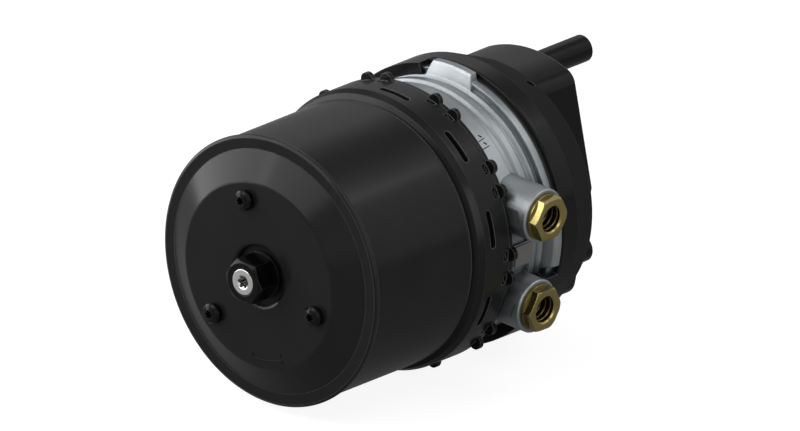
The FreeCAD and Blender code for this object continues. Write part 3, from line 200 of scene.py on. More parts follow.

# %% [markdown]
# ## Black paint
# The pots, the rings and the bolt wear a smooth, half-glossy black. A dark colour alone would look like
# plastic. So two blacks drift into each other, a fine speckle unsettles the gloss and raises a faint orange
# peel, and the edges get a painted highlight, a paler colour where light would catch them. The rear pot's
# cone is duller than the rest of it, so its recipe adds roughness between two places along the axis.

# %% A duller band between two places along the axis
def dull_between(tree, place, roughness, front, rear, extra):
    along = tree.nodes.new("ShaderNodeSeparateXYZ")
    tree.links.new(place, along.inputs["Vector"])
    inside = tree.nodes.new("ShaderNodeMath")
    inside.operation = "MULTIPLY"
    tree.links.new(remap(tree, along.outputs["Y"], front - MM, front, 0.0, 1.0), inside.inputs[0])
    tree.links.new(remap(tree, along.outputs["Y"], rear, rear + MM, 1.0, 0.0), inside.inputs[1])
    duller = tree.nodes.new("ShaderNodeMath")
    duller.operation = "MULTIPLY_ADD"
    tree.links.new(inside.outputs["Value"], duller.inputs[0])
    duller.inputs[1].default_value = extra
    tree.links.new(roughness, duller.inputs[2])
    return duller.outputs["Value"]


CONE_FRONT, CONE_REAR = FACE_Y + 180.5 * MM, FACE_Y + 202.0 * MM
print("the rear pot's cone runs from", round(CONE_FRONT, 4), "to", round(CONE_REAR, 4))

# %% Mix the paints
PAINT_CLOUDS, PAINT_SPECKLE = 38.0, 900.0
SPECKLE_SPAN = (0.25, 0.75)
ORANGE_PEEL = 0.000004
GLOSSIER, DULLER = 0.02, 0.03
PAINT_SPECULAR = 0.20


def painted(name, dark, light, gloss, edge=0.0009, edge_highlight=(0.06, 0.06, 0.061), dull_band=None):
    material, tree, shader, place = new_finish(name)
    cloud = noise(tree, place, PAINT_CLOUDS, 4.0)
    speckle = noise(tree, place, PAINT_SPECKLE, 3.0)
    edges = rounded_edges(tree, edge)
    # painted highlight along every edge, laid over the two blacks
    colour = lighten_edges(tree, clouded(tree, cloud, dark, light), edges, edge_highlight)
    tree.links.new(colour, shader.inputs["Base Color"])
    roughness = remap(tree, speckle, *SPECKLE_SPAN, gloss - GLOSSIER, gloss + DULLER)
    if dull_band is not None:
        roughness = dull_between(tree, place, roughness, *dull_band)
    tree.links.new(roughness, shader.inputs["Roughness"])
    tree.links.new(raise_surface(tree, speckle, ORANGE_PEEL, edges), shader.inputs["Normal"])
    shader.inputs["Specular IOR Level"].default_value = PAINT_SPECULAR
    return material


barrel_paint = painted(
    "barrel_paint", (0.0135, 0.0136, 0.0139), (0.0160, 0.0161, 0.0164), 0.20, edge_highlight=(0.17, 0.17, 0.172),
)
rear_paint = painted(
    "rear_paint", (0.0090, 0.0091, 0.0094), (0.0112, 0.0113, 0.0116), 0.18,
    edge_highlight=(0.13, 0.13, 0.132), dull_band=(CONE_FRONT, CONE_REAR, 0.60),
)
ring_paint = painted(
    "ring_paint", (0.0080, 0.0081, 0.0084), (0.0100, 0.0101, 0.0104), 0.14, edge_highlight=(0.10, 0.10, 0.102),
)
bolt_paint = painted(
    "bolt_paint", (0.0022, 0.0023, 0.0026), (0.0036, 0.0037, 0.0040), 0.12, edge_highlight=(0.022, 0.022, 0.023),
)
print("paints:", barrel_paint.name, rear_paint.name, ring_paint.name, bolt_paint.name)

# %% Thin black coatings come from the same recipe
stud_coating = painted("stud_coating", (0.0044, 0.0045, 0.0048), (0.0064, 0.0065, 0.0068), 0.26)
screw_coating = painted(
    "screw_coating", (0.0024, 0.0025, 0.0028), (0.0040, 0.0041, 0.0044), 0.14, edge=0.0003,
)
# the real dark finish of the washer and plate, and also the dark colour of the pressed marks below, which is
# painted shade
dark_oxide_and_groove_shade = painted(
    "dark_oxide_and_groove_shade", (0.0030, 0.0030, 0.0031), (0.0060, 0.0060, 0.0061), 0.42, edge_highlight=(0.008, 0.008, 0.008),
)
spring_coating = painted("spring_coating", (0.020, 0.021, 0.023), (0.034, 0.035, 0.038), 0.42)
print("coatings:", stud_coating.name, screw_coating.name, dark_oxide_and_groove_shade.name, spring_coating.name)

# %% [markdown]
# ## Bare metals
# The casting is matt aluminium with a grain, the ports are turned brass, and the small parts are plated.
# Metal has almost no colour of its own apart from what it mirrors, so the roughness does most of the work.
# One recipe serves them all. The grain is stretched where a tool has drawn lines, and grooves get painted
# shade.

# %% The recipe for metal
METAL_CLOUDS = 45.0


def metallic(name, dark, light, roughness, scale, stretch=(1, 1, 1), grain=0.00003, edge=0.0004, hollow=None):
    material, tree, shader, place = new_finish(name)
    shader.inputs["Metallic"].default_value = 1.0
    cloud = noise(tree, place, METAL_CLOUDS, 5.0)
    fine = noise(tree, stretched(tree, place, stretch), scale, 4.0, 0.6)
    colour = clouded(tree, cloud, dark, light)
    # painted shade: the hollow colour darkens grooves and bores
    if hollow is not None:
        depth, shade = hollow
        colour = shade_hollows(tree, colour, shade, depth)
    tree.links.new(colour, shader.inputs["Base Color"])
    tree.links.new(remap(tree, fine, *NOISE_SPAN, *roughness), shader.inputs["Roughness"])
    edges = rounded_edges(tree, edge)
    tree.links.new(raise_surface(tree, fine, grain, edges), shader.inputs["Normal"])
    return material


POLISHED = 0.00001
print("metal clouds", METAL_CLOUDS, "and polished grain", POLISHED)

# %% Cast aluminium and brass
# the hollow colours below are painted shade for the grooves of the casting and the bores of the ports
cast_aluminium = metallic(
    "cast_aluminium", (0.365, 0.39, 0.405), (0.475, 0.50, 0.515), (0.38, 0.52), 1100.0,
    grain=0.00010, edge=0.0010, hollow=(0.010, (0.060, 0.066, 0.071)),
)
piston_alloy = metallic("piston_alloy", (0.46, 0.48, 0.50), (0.58, 0.60, 0.62), (0.38, 0.5), 900.0)
brass_finish = metallic(
    "brass_finish", (0.34, 0.275, 0.10), (0.44, 0.355, 0.135), (0.15, 0.24), 1500.0, (0.1, 1, 1),
    grain=POLISHED, edge=0.0006, hollow=(0.012, (0.020, 0.012, 0.003)),
)
# a darker copy of the brass: painted shade for the thread deep in the bore, with painted shade in its hollows
# too
shaded_thread_brass = metallic(
    "shaded_thread_brass", (0.13, 0.10, 0.035), (0.18, 0.14, 0.05), (0.20, 0.30), 1500.0,
    hollow=(0.012, (0.012, 0.008, 0.002)),
)
print("metals:", cast_aluminium.name, piston_alloy.name, brass_finish.name, shaded_thread_brass.name)

# %% Plated steel
zinc_plating = metallic(
    "zinc_plating", (0.44, 0.45, 0.47), (0.56, 0.57, 0.59), (0.24, 0.4), 1400.0, (1, 0.08, 1), POLISHED,
)
# its hollow colour is painted shade in the drive socket
insert_steel = metallic(
    "insert_steel", (0.80, 0.82, 0.80), (0.90, 0.91, 0.89), (0.16, 0.28), 1200.0,
    grain=POLISHED, edge=0.0006, hollow=(0.005, (0.06, 0.06, 0.06)),
)
plate_metal = metallic(
    "plate_metal", (0.28, 0.275, 0.26), (0.36, 0.355, 0.335), (0.3, 0.44), 1300.0, (1, 0.06, 1), POLISHED,
    edge=0.0002,
)
print("plated:", zinc_plating.name, insert_steel.name, plate_metal.name)

# %% [markdown]
# ## Rubber and plastic
# Seals, diaphragm and boot are black rubber, and the guides are pale plastic. They aren't metal and have no
# bright edges, so a shorter recipe does: two colours, a fine grain, and for rubber a touch of sheen, which
# stands for its dusty surface.

# %% Mix the soft finishes
SOFT_CLOUDS, SOFT_GRAIN = 60.0, 1600.0


def soft_finish(name, dark, light, roughness, sheen, height):
    material, tree, shader, place = new_finish(name)
    cloud = noise(tree, place, SOFT_CLOUDS, 5.0)
    fine = noise(tree, place, SOFT_GRAIN, 3.0)
    tree.links.new(clouded(tree, cloud, dark, light), shader.inputs["Base Color"])
    tree.links.new(remap(tree, fine, *NOISE_SPAN, *roughness), shader.inputs["Roughness"])
    tree.links.new(raise_surface(tree, fine, height), shader.inputs["Normal"])
    shader.inputs["Sheen Weight"].default_value = sheen
    return material


rubber_finish = soft_finish(
    "rubber_finish", (0.011, 0.011, 0.012), (0.020, 0.020, 0.021), (0.55, 0.75), 0.05, 0.00003,
)
guide_plastic = soft_finish(
    "guide_plastic", (0.60, 0.58, 0.50), (0.70, 0.68, 0.60), (0.35, 0.5), 0.0, 0.00001,
)
print("soft finishes:", rubber_finish.name, guide_plastic.name)

# %% [markdown]
# ## Finishes on the CAD solids
# The CAD solids keep their own shapes. Only their material slots change, with one finish for each node. A
# table of finishes is easier to read and to change than a line of code for every solid.

# %% Give every CAD node its finish
finishes = {
    barrel_paint: ["spring_housing"],
    ring_paint: ["lock_ring", "retaining_ring"],
    cast_aluminium: ["intermediate_flange"],
    brass_finish: ["upper_port_fitting", "lower_port_fitting"],
    plate_metal: ["tag_plate"],
    rear_paint: ["service_housing"],
    stud_coating: ["mounting_studs"],
    screw_coating: ["cover_screws"],
    bolt_paint: ["release_bolt"],
    dark_oxide_and_groove_shade: ["thrust_washer", "bearing_plate"],
    insert_steel: ["release_insert"],
    piston_alloy: ["spring_piston"],
    zinc_plating: ["push_plate", "pushrod", "boot_ring", "push_tube", "release_nut"],
    spring_coating: ["tube_snap_ring", "nut_pin", "power_spring", "return_spring"],
    guide_plastic: ["piston_guide_ring", "tube_plug", "hub_bush"],
    rubber_finish: [
        "port_seals", "face_seal", "flange_o_ring", "piston_seal", "tube_seal", "diaphragm", "dust_boot",
    ],
}
dressed = 0
for finish, names in finishes.items():
    for name in names:
        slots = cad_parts[name].data.materials
        slots.clear()
        slots.append(finish)
        dressed += 1
print("dressed", dressed, "of", len(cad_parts), "nodes")

# %% [markdown]
# ## Trees that follow a path
# A spring's wire, a screw thread and a pressed line are the same idea: a small round or square section that
# follows a curve. They could be drawn point by point. A Geometry Nodes tree with named inputs does it for any
# size, so one tree makes every coil. Each tree ends in Realize Instances and Set Material, because the
# export reads only plain meshes.

# %% Start and finish a tree, and sweep a section along a curve in it
def tree_with_inputs(name, inputs):
    tree = bpy.data.node_groups.new(name, "GeometryNodeTree")
    for label, kind, value in inputs:
        socket = tree.interface.new_socket(label, in_out="INPUT", socket_type="NodeSocket" + kind)
        if value is not None:
            socket.default_value = value
    tree.interface.new_socket("Geometry", in_out="OUTPUT", socket_type="NodeSocketGeometry")
    return tree, tree.nodes.new("NodeGroupInput"), tree.nodes.new("NodeGroupOutput")


def feed(tree, given, node, wires):
    for source, target in wires:
        tree.links.new(given.outputs[source], node.inputs[target])


def sweep_and_paint(tree, given, result, curve, section):
    sweep = tree.nodes.new("GeometryNodeCurveToMesh")
    sweep.inputs["Fill Caps"].default_value = True
    realize = tree.nodes.new("GeometryNodeRealizeInstances")
    paint = tree.nodes.new("GeometryNodeSetMaterial")
    tree.links.new(curve, sweep.inputs["Curve"])
    tree.links.new(section.outputs["Curve"], sweep.inputs["Profile Curve"])
    tree.links.new(sweep.outputs["Mesh"], realize.inputs["Geometry"])
    tree.links.new(realize.outputs["Geometry"], paint.inputs["Geometry"])
    tree.links.new(given.outputs["Material"], paint.inputs["Material"])
    tree.links.new(paint.outputs["Geometry"], result.inputs["Geometry"])


print("tree helpers ready")

# %% A tree for anything wound on a spiral
winding, given, result = tree_with_inputs(
    "winding",
    [
        ("Start radius", "Float", 0.01), ("End radius", "Float", 0.01), ("Length", "Float", 0.02),
        ("Turns", "Float", 4.0), ("Wire radius", "Float", 0.001), ("Sides", "Int", 12),
        ("Steps per turn", "Int", 48), ("Material", "Material", None),
    ],
)
spiral = winding.nodes.new("GeometryNodeCurveSpiral")
wire_section = winding.nodes.new("GeometryNodeCurvePrimitiveCircle")
upright = winding.nodes.new("GeometryNodeSetCurveNormal")
upright.mode = "Z_UP"
feed(winding, given, spiral, [
    ("Start radius", "Start Radius"), ("End radius", "End Radius"), ("Length", "Height"),
    ("Turns", "Rotations"), ("Steps per turn", "Resolution"),
])
feed(winding, given, wire_section, [("Wire radius", "Radius"), ("Sides", "Resolution")])
winding.links.new(spiral.outputs["Curve"], upright.inputs["Curve"])
sweep_and_paint(winding, given, result, upright.outputs["Curve"], wire_section)
print("tree", winding.name, "has", len(winding.nodes), "nodes")

# %% Turn a tree into a plain mesh object
SAME_PLACE = 1e-7  # points nearer than this are one point


def grow(name, tree, values, matrix, smooth=True):
    piece = bpy.data.objects.new(name, bpy.data.meshes.new(name))
    scene.collection.objects.link(piece)
    modifier = piece.modifiers.new("tree", "NODES")
    modifier.node_group = tree
    sockets = {s.name: s.identifier for s in tree.interface.items_tree if s.in_out == "INPUT"}
    for label, value in values.items():
        modifier[sockets[label]] = value
    graph = bpy.context.evaluated_depsgraph_get()
    mesh = bpy.data.meshes.new_from_object(piece.evaluated_get(graph), depsgraph=graph)
    piece.modifiers.clear()
    piece.data = mesh
    mesh.transform(matrix)
    work = bmesh.new()
    work.from_mesh(mesh)
    bmesh.ops.remove_doubles(work, verts=work.verts, dist=SAME_PLACE)
    bmesh.ops.recalc_face_normals(work, faces=work.faces)
    for face in work.faces:
        face.smooth = smooth
    work.to_mesh(mesh)
    work.free()
    print(name, len(mesh.polygons), "faces")
    return piece


def along_y(y):
    return Matrix.Translation((0, y, 0)) @ Matrix.Rotation(-math.pi / 2, 4, "X")


# %% [markdown]
# ## The two springs
# The parking spring is a heavy cone of 12 mm wire that pushes the piston back when the air is let out. The
# return spring is light and straight. The CAD holds them with a plain eight-sided wire. Here each gets its
# round wire.


def spring_between(name, node, radii, wire, turns):
    low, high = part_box(node)
    length = high.y - low.y - 2 * wire
    values = {
        "Start radius": radii[0], "End radius": radii[1], "Length": length, "Turns": turns,
        "Wire radius": wire, "Sides": 16, "Steps per turn": 64, "Material": spring_coating,
    }
    spring = grow(name, winding, values, along_y(low.y + wire))
    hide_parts(node)
    return spring, low.y, high.y


# %% Wind the two springs, and attach the return spring to the chamber's body
PARKING_RADII, PARKING_WIRE, PARKING_TURNS = (0.032, 0.0595), 0.0059, 3.5
RETURN_RADII, RETURN_WIRE, RETURN_TURNS = (0.034, 0.034), 0.002, 6.0

spring, front, rear = spring_between(
    "parking_spring_coil", "power_spring", PARKING_RADII, PARKING_WIRE, PARKING_TURNS,
)
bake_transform(spring)
spring, front, rear = spring_between(
    "service_spring_coil", "return_spring", RETURN_RADII, RETURN_WIRE, RETURN_TURNS,
)
print("return spring, free length:", round((rear - front) / MM, 1))
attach(spring, "chamber")
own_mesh(spring)

# %% [markdown]
# ## The rubber diaphragm and the dust boot
# Both are moulded rings of rubber, so a rounded section turned about the chamber's axis is their true shape.
# Cutting the corners of the section twice rounds it the way a mould does.

# %% Turn a rounded section about the chamber's axis
def rounded_section(points, rounds=2):
    for _ in range(rounds):
        cut = []
        for (r0, y0), (r1, y1) in zip(points, points[1:] + points[:1]):
            cut.append((0.75 * r0 + 0.25 * r1, 0.75 * y0 + 0.25 * y1))
            cut.append((0.25 * r0 + 0.75 * r1, 0.25 * y0 + 0.75 * y1))
        points = cut
    return points


def turned(name, points, finish, steps=96):
    mesh = bpy.data.meshes.new(name)
    work = bmesh.new()
    rings = []
    for step in range(steps):
        angle = math.tau * step / steps
        rings.append([work.verts.new((r * math.cos(angle), y, r * math.sin(angle))) for r, y in points])
    count = len(points)
    for step in range(steps):
        near, far = rings[step], rings[(step + 1) % steps]
        for n in range(count):
            work.faces.new((near[n], near[(n + 1) % count], far[(n + 1) % count], far[n]))
    bmesh.ops.remove_doubles(work, verts=work.verts, dist=10 * SAME_PLACE)
    bmesh.ops.dissolve_degenerate(work, edges=work.edges, dist=SAME_PLACE)
    bmesh.ops.recalc_face_normals(work, faces=work.faces)
    for face in work.faces:
        face.smooth = True
    work.to_mesh(mesh)
    work.free()
    mesh.materials.append(finish)
    piece = bpy.data.objects.new(name, mesh)
    scene.collection.objects.link(piece)
    print(name, len(mesh.polygons), "faces")
    return piece


# %% Diaphragm: a dish at rest in the flange, with its bead clamped behind the rim
dish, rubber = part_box("diaphragm"), 3.0 * MM
dish_front, bead_rear = dish[0].y, dish[1].y
rim_rear = bead_rear - 3.6 * MM
centre_hole, dish_inner, dish_outer = 0.2 * MM, 47.9 * MM, 49.7 * MM
roll_inner, bead_inner, roll_outer, bead_outer = 70.4 * MM, 71.0 * MM, 73.4 * MM, 80.0 * MM
diaphragm_section = [
    (centre_hole, dish_front), (dish_outer, dish_front), (roll_outer, rim_rear - 1.2 * MM),
    (74.0 * MM, rim_rear), (bead_outer, rim_rear), (bead_outer, bead_rear), (bead_inner, bead_rear),
    (roll_inner, rim_rear + 1.5 * MM), (dish_inner, dish_front + rubber), (centre_hole, dish_front + rubber),
]
diaphragm = turned("rolling_diaphragm", rounded_section(diaphragm_section), rubber_finish)
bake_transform(diaphragm)
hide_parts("diaphragm")

# %% Dust boot: two legs and a fold between the mouth's ring and the rod
boot_low, boot_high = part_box("dust_boot")
fold, lip_rear = boot_low.y, boot_high.y
boot_outer = boot_high.x
wall, rod = 1.6 * MM, 9.1 * MM
lip_front = lip_rear - 5 * MM
bead_rear_end, bead_front = -wall, fold + 16.0 * MM
outer_leg, inner_leg = boot_outer - wall - 0.15 * MM, rod + 1.2 * wall
boot_section = [
    (boot_outer, bead_rear_end), (outer_leg - wall, bead_rear_end), (outer_leg - 2 * wall, fold + wall),
    (inner_leg + 1.6 * wall, fold + wall), (inner_leg + 0.8 * wall, lip_rear - wall), (inner_leg, lip_rear),
    (rod, lip_rear), (rod, lip_front), (inner_leg - wall / 4, lip_front),
    (inner_leg + 0.6 * wall, fold + wall / 2), (inner_leg + 1.4 * wall, fold), (outer_leg - 1.8 * wall, fold),
    (outer_leg - wall, fold + wall / 2), (outer_leg, bead_front), (boot_outer, bead_front),
]
boot = turned("folded_boot", rounded_section(boot_section), rubber_finish)
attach(boot, "chamber")
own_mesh(boot)
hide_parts("dust_boot")

# %% [markdown]
# ## Threads in the two ports
# A hose fitting screws into each brass port, so its bore shows a thread. Cut into the CAD, it would cost
# thousands of faces. Here it is a ridge on a spiral, wound by the same tree as the springs, with a four-sided
# section whose edge points at the bore's axis.

# %% Where a port stands
PORT_TURN = math.radians(-5.0)
PORT_Y = -0.0946
PORT_OFFSET = 28.05 * MM
port_axis = Vector((math.cos(PORT_TURN), 0, math.sin(PORT_TURN)))
port_side = Vector((-math.sin(PORT_TURN), 0, math.cos(PORT_TURN)))


def port_frame(side, reach):
    origin = port_axis * reach + port_side * (side * PORT_OFFSET) + Vector((0, PORT_Y, 0))
    columns = (port_side.cross(port_axis) * -1, port_side, port_axis)
    return Matrix.Translation(origin) @ Matrix(columns).transposed().to_4x4()


print("port axis", [round(v, 3) for v in port_axis])

# %% Wind a thread into each port
THREAD_RADIUS, THREAD_RIDGE = 7.6 * MM, 0.55 * MM
THREAD_PITCH, THREAD_TURNS = 3.6 * MM, 3.8
THREAD_START = 81.6 * MM

for name, side in (("upper_port_thread", 1), ("lower_port_thread", -1)):
    values = {
        "Start radius": THREAD_RADIUS, "End radius": THREAD_RADIUS, "Length": THREAD_PITCH * THREAD_TURNS,
        "Turns": THREAD_TURNS, "Wire radius": THREAD_RIDGE, "Sides": 4, "Steps per turn": 48,
        "Material": shaded_thread_brass,
    }
    thread = grow(name, winding, values, port_frame(side, THREAD_START), smooth=False)
    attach(thread, "chamber")

# %% [markdown]
# ## Marks pressed into the face and the casting
# A short arc with three ticks on the front face tells which way the release bolt turns. The casting has two
# small pairs of marks from its die. Each is a thin bar along a curve, so two small trees make them all. The
# bars stand proud and dark: their dark colour is painted shade, in place of the shade in a pressed groove.

# %% A tree for a thin bar along an arc
MARK_SIDES = 8

bar, given, result = tree_with_inputs(
    "bar_on_arc",
    [
        ("Radius", "Float", 0.05), ("Start angle", "Float", 0.0), ("Sweep angle", "Float", 0.5),
        ("Bar radius", "Float", 0.0004), ("Steps", "Int", 24), ("Material", "Material", None),
    ],
)
arc = bar.nodes.new("GeometryNodeCurveArc")
bar_section = bar.nodes.new("GeometryNodeCurvePrimitiveCircle")
bar_section.inputs["Resolution"].default_value = MARK_SIDES
feed(bar, given, arc, [
    ("Radius", "Radius"), ("Start angle", "Start Angle"), ("Sweep angle", "Sweep Angle"),
    ("Steps", "Resolution"),
])
feed(bar, given, bar_section, [("Bar radius", "Radius")])
sweep_and_paint(bar, given, result, arc.outputs["Curve"], bar_section)
print("tree", bar.name, "has", len(bar.nodes), "nodes")

# %% The turning arc on the front face
face_plane = Matrix.Translation((0, FACE_Y, 0)) @ Matrix.Rotation(math.pi / 2, 4, "X")
ARC_RADIUS = 50.1 * MM
ARC_FROM, ARC_TO = math.radians(-95.0), math.radians(-69.6)
# painted shade: the dark arc stands for the shade in a pressed groove
sign_arc = grow(
    "turning_arc", bar,
    {"Radius": ARC_RADIUS, "Start angle": ARC_FROM, "Sweep angle": ARC_TO - ARC_FROM,
     "Bar radius": 0.4 * MM, "Steps": 24, "Material": dark_oxide_and_groove_shade},
    face_plane,
)
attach(sign_arc, "chamber")

# %% A tree for a short straight bar
stroke, given, result = tree_with_inputs(
    "straight_bar",
    [
        ("Start", "Vector", (0, 0, 0)), ("End", "Vector", (0, 0, 0.01)),
        ("Bar radius", "Float", 0.0004), ("Material", "Material", None),
    ],
)
line = stroke.nodes.new("GeometryNodeCurvePrimitiveLine")
stroke_section = stroke.nodes.new("GeometryNodeCurvePrimitiveCircle")
stroke_section.inputs["Resolution"].default_value = MARK_SIDES
feed(stroke, given, line, [("Start", "Start"), ("End", "End")])
feed(stroke, given, stroke_section, [("Bar radius", "Radius")])
sweep_and_paint(stroke, given, result, line.outputs["Curve"], stroke_section)
print("tree", stroke.name, "has", len(stroke.nodes), "nodes")


def stroke_between(name, start, end, radius):
    # painted shade: the dark bar stands for the shade in a pressed groove
    values = {"Start": start, "End": end, "Bar radius": radius, "Material": dark_oxide_and_groove_shade}
    piece = grow(name, stroke, values, Matrix.Identity(4))
    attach(piece, "chamber")


# %% The arc's ticks
def on_face(radius, angle):
    return radius * math.cos(angle), FACE_Y, radius * math.sin(angle)


TICK_RADIUS = 0.42 * MM
ARC_TICKS = (
    (ARC_FROM, 47.2 * MM, ARC_RADIUS), (ARC_TO, 45.4 * MM, 48.0 * MM), (ARC_TO, 49.8 * MM, 52.4 * MM),
)
for number, (angle, inner, outer) in enumerate(ARC_TICKS, start=1):
    stroke_between(
        f"arc_tick_{number}", on_face(inner, angle), on_face(outer, angle), TICK_RADIUS,
    )

# %% The casting's die marks, each from one angle and station to another
BAND_RADIUS = 76.2 * MM
DIE_MARKS = (
    ((48.3, 131.8), (48.9, 137.0), 0.26), ((44.4, 131.4), (44.9, 137.2), 0.26),
    ((51.1, 134.4), (49.8, 135.8), 0.42), ((47.2, 134.7), (45.9, 136.1), 0.42),
)


def on_band(degrees, station):
    angle = math.radians(degrees)
    return BAND_RADIUS * math.cos(angle), FACE_Y + station * MM, BAND_RADIUS * math.sin(angle)


for number, (start, end, radius) in enumerate(DIE_MARKS, start=1):
    stroke_between(f"die_mark_{number}", on_band(*start), on_band(*end), radius * MM)

# %% [markdown]
# ## The floor
# A product picture stands on plain white. More light would burn out the bright metal long before a floor
# turned white, so the floor stays pale grey for the light and keeps the shadow. The Light Path node lets it
# glow for the camera alone, with a dim glow for reflections, so that the black paint stays black.

# %% White for the camera, pale for the light
FLOOR_GREY, FLOOR_SEEN, FLOOR_MIRRORED = 0.34, 0.89, 0.08
FLOOR_ROUGHNESS = 0.9


def studio_white(name, grey, seen, mirrored):
    material, tree, shader, _ = new_finish(name)
    shader.inputs["Base Color"].default_value = (grey, grey, grey, 1.0)
    shader.inputs["Roughness"].default_value = FLOOR_ROUGHNESS
    shader.inputs["Specular IOR Level"].default_value = 0.0
    path = tree.nodes.new("ShaderNodeLightPath")
    level = None
    for ray, glow in (("Is Camera Ray", seen), ("Is Transmission Ray", seen), ("Is Glossy Ray", mirrored)):
        part = tree.nodes.new("ShaderNodeMath")
        part.operation = "MULTIPLY_ADD"
        tree.links.new(path.outputs[ray], part.inputs[0])
        part.inputs[1].default_value = glow
        part.inputs[2].default_value = 0.0
        if level is not None:
            tree.links.new(level, part.inputs[2])
        level = part.outputs["Value"]
    light = tree.nodes.new("ShaderNodeEmission")
    tree.links.new(level, light.inputs["Strength"])
    both = tree.nodes.new("ShaderNodeAddShader")
    tree.links.new(shader.outputs["BSDF"], both.inputs[0])
    tree.links.new(light.outputs["Emission"], both.inputs[1])
    tree.links.new(both.outputs["Shader"], tree.nodes["Material Output"].inputs["Surface"])
    return material


floor_white = studio_white("floor_white", FLOOR_GREY, FLOOR_SEEN, FLOOR_MIRRORED)
print("floor finish:", floor_white.name)

# %% Lay the floor under the model
FLOOR_HALF = 6.0
floor_z = cad_box[0].z
floor_mesh = bpy.data.meshes.new("floor")
floor_corners = [
    (-FLOOR_HALF, -FLOOR_HALF, 0), (FLOOR_HALF, -FLOOR_HALF, 0),
    (FLOOR_HALF, FLOOR_HALF, 0), (-FLOOR_HALF, FLOOR_HALF, 0),
]
floor_mesh.from_pydata(floor_corners, [], [(0, 1, 2, 3)])
floor_mesh.transform(Matrix.Translation((0, 0, floor_z)))
floor_mesh.materials.append(floor_white)
floor = bpy.data.objects.new("floor", floor_mesh)
scene.collection.objects.link(floor)
print("floor at", round(floor_z, 4))

# %% [markdown]
# ## The sky
# Black paint shows little but what it mirrors. In a studio those are pale walls with darker gaps, which give
# a pot its long soft bands. A picture of a studio would do, but a Color Ramp across the world's X gives the
# same bands with a dozen numbers. The camera sees plain white, and the model is lit by an even grey.

# %% Soft bands for mirrors, white for the camera, grey for the light
SKY_LIGHT = 0.30
SKY_ACROSS = [
    (-1.0, 0.28), (-0.74, 0.22), (-0.60, 0.48), (-0.46, 0.70), (-0.27, 0.40), (-0.15, 0.27),
    (0.02, 0.28), (0.22, 0.60), (0.45, 0.78), (0.62, 0.70), (0.72, 0.52), (1.0, 0.40),
]
world = bpy.data.worlds.new("studio")
scene.world = world
world.use_nodes = True
sky = world.node_tree
background = sky.nodes["Background"]
background.inputs["Color"].default_value = (1.0, 1.0, 1.0, 1.0)
sky_place = sky.nodes.new("ShaderNodeTexCoord")
sky_side = sky.nodes.new("ShaderNodeSeparateXYZ")
sky.links.new(sky_place.outputs["Generated"], sky_side.inputs["Vector"])
sky_bands = sky.nodes.new("ShaderNodeValToRGB")
for index, (side, level) in enumerate(SKY_ACROSS):
    stops = sky_bands.color_ramp.elements
    stop = stops[index] if index < 2 else stops.new((side + 1) / 2)
    stop.position = (side + 1) / 2
    stop.color = (level, level, level, 1.0)
sky.links.new(remap(sky, sky_side.outputs["X"], -1.0, 1.0, 0.0, 1.0), sky_bands.inputs["Fac"])
print("sky bands:", len(sky_bands.color_ramp.elements))

# %% Let the kind of ray choose the sky's level
sky_path = sky.nodes.new("ShaderNodeLightPath")
mirrors = sky.nodes.new("ShaderNodeMath")
mirrors.operation = "ADD"
mirrors.use_clamp = True
sky.links.new(sky_path.outputs["Is Glossy Ray"], mirrors.inputs[0])
sky.links.new(sky_path.outputs["Is Transmission Ray"], mirrors.inputs[1])
plain = sky.nodes.new("ShaderNodeMapRange")
plain.inputs["To Min"].default_value = SKY_LIGHT
sky.links.new(mirrors.outputs["Value"], plain.inputs["Value"])
sky.links.new(sky_bands.outputs["Color"], plain.inputs["To Max"])
sky_level = sky.nodes.new("ShaderNodeMath")
sky_level.operation = "MAXIMUM"
sky.links.new(sky_path.outputs["Is Camera Ray"], sky_level.inputs[0])
sky.links.new(plain.outputs["Result"], sky_level.inputs[1])
sky.links.new(sky_level.outputs["Value"], background.inputs["Strength"])
print("sky light", SKY_LIGHT)

# %% [markdown]
# ## The lamps
# Small lamps would put hard white spots on the paint. Four large soft boxes at a low power do what a
# photographer's do: the front one draws the broad highlight on the pot's bevel, the key lights the face, and
# the top and side ones lift the far edges. All point at the middle of the chamber.

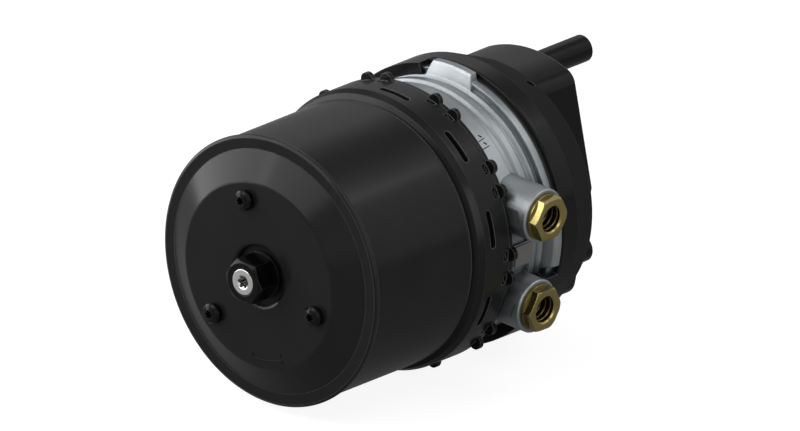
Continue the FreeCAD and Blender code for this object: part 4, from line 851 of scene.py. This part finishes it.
# %% Hang the soft boxes: name, place, size in metres, power in watts
LAMPS = (
    ("key", (-0.42, -1.30, 1.00), (1.1, 1.0), 7),
    ("front", (-1.43, -0.84, 0.38), (1.5, 1.4), 20),
    ("top", (0.84, 0.62, 1.38), (1.0, 0.7), 3.5),
    ("side", (1.8, -0.6, 0.5), (0.7, 1.2), 5),
)
middle = Vector((0, -0.1, 0))
for name, place, size, power in LAMPS:
    lamp = bpy.data.lights.new(name, "AREA")
    lamp.shape = "RECTANGLE"
    lamp.size, lamp.size_y = size
    lamp.energy = power
    lamp_object = bpy.data.objects.new(name, lamp)
    lamp_object.location = place
    lamp_object.rotation_euler = (middle - Vector(place)).to_track_quat("-Z", "Y").to_euler()
    scene.collection.objects.link(lamp_object)

# %% [markdown]
# ## The camera
# The edges that run along the axis stay parallel in the photograph, as with a very long lens, so an
# orthographic camera matches it. Its angle, its scale and one known point, the centre of the front disc,
# fix the whole frame, with no trial and error.

# %% The camera, from the photograph's angle
AZIMUTH, ELEVATION = math.radians(41.2), math.radians(20.27)
PIXELS_PER_METRE = 1762.0
IMAGE = (800.0, 431.0)
AXIS_PIXEL = (258.6, 275.9)
EYE_DISTANCE = 1.5
right = Vector((math.cos(AZIMUTH), math.sin(AZIMUTH), 0))
back = Vector((
    math.sin(AZIMUTH) * math.cos(ELEVATION), -math.cos(AZIMUTH) * math.cos(ELEVATION), math.sin(ELEVATION),
))
up = back.cross(right)
across = (IMAGE[0] / 2 - AXIS_PIXEL[0]) / PIXELS_PER_METRE
above = (AXIS_PIXEL[1] - IMAGE[1] / 2) / PIXELS_PER_METRE
eye = Vector((0, FACE_Y, 0)) + right * across + up * above + back * EYE_DISTANCE
lens = bpy.data.cameras.new("camera")
lens.type = "ORTHO"
lens.ortho_scale = IMAGE[0] / PIXELS_PER_METRE
camera = bpy.data.objects.new("camera", lens)
camera.matrix_world = Matrix.Translation(eye) @ Matrix((right, up, back)).transposed().to_4x4()
scene.collection.objects.link(camera)
scene.camera = camera
scene.view_settings.view_transform = "Standard"
print("camera at", [round(v, 3) for v in eye])
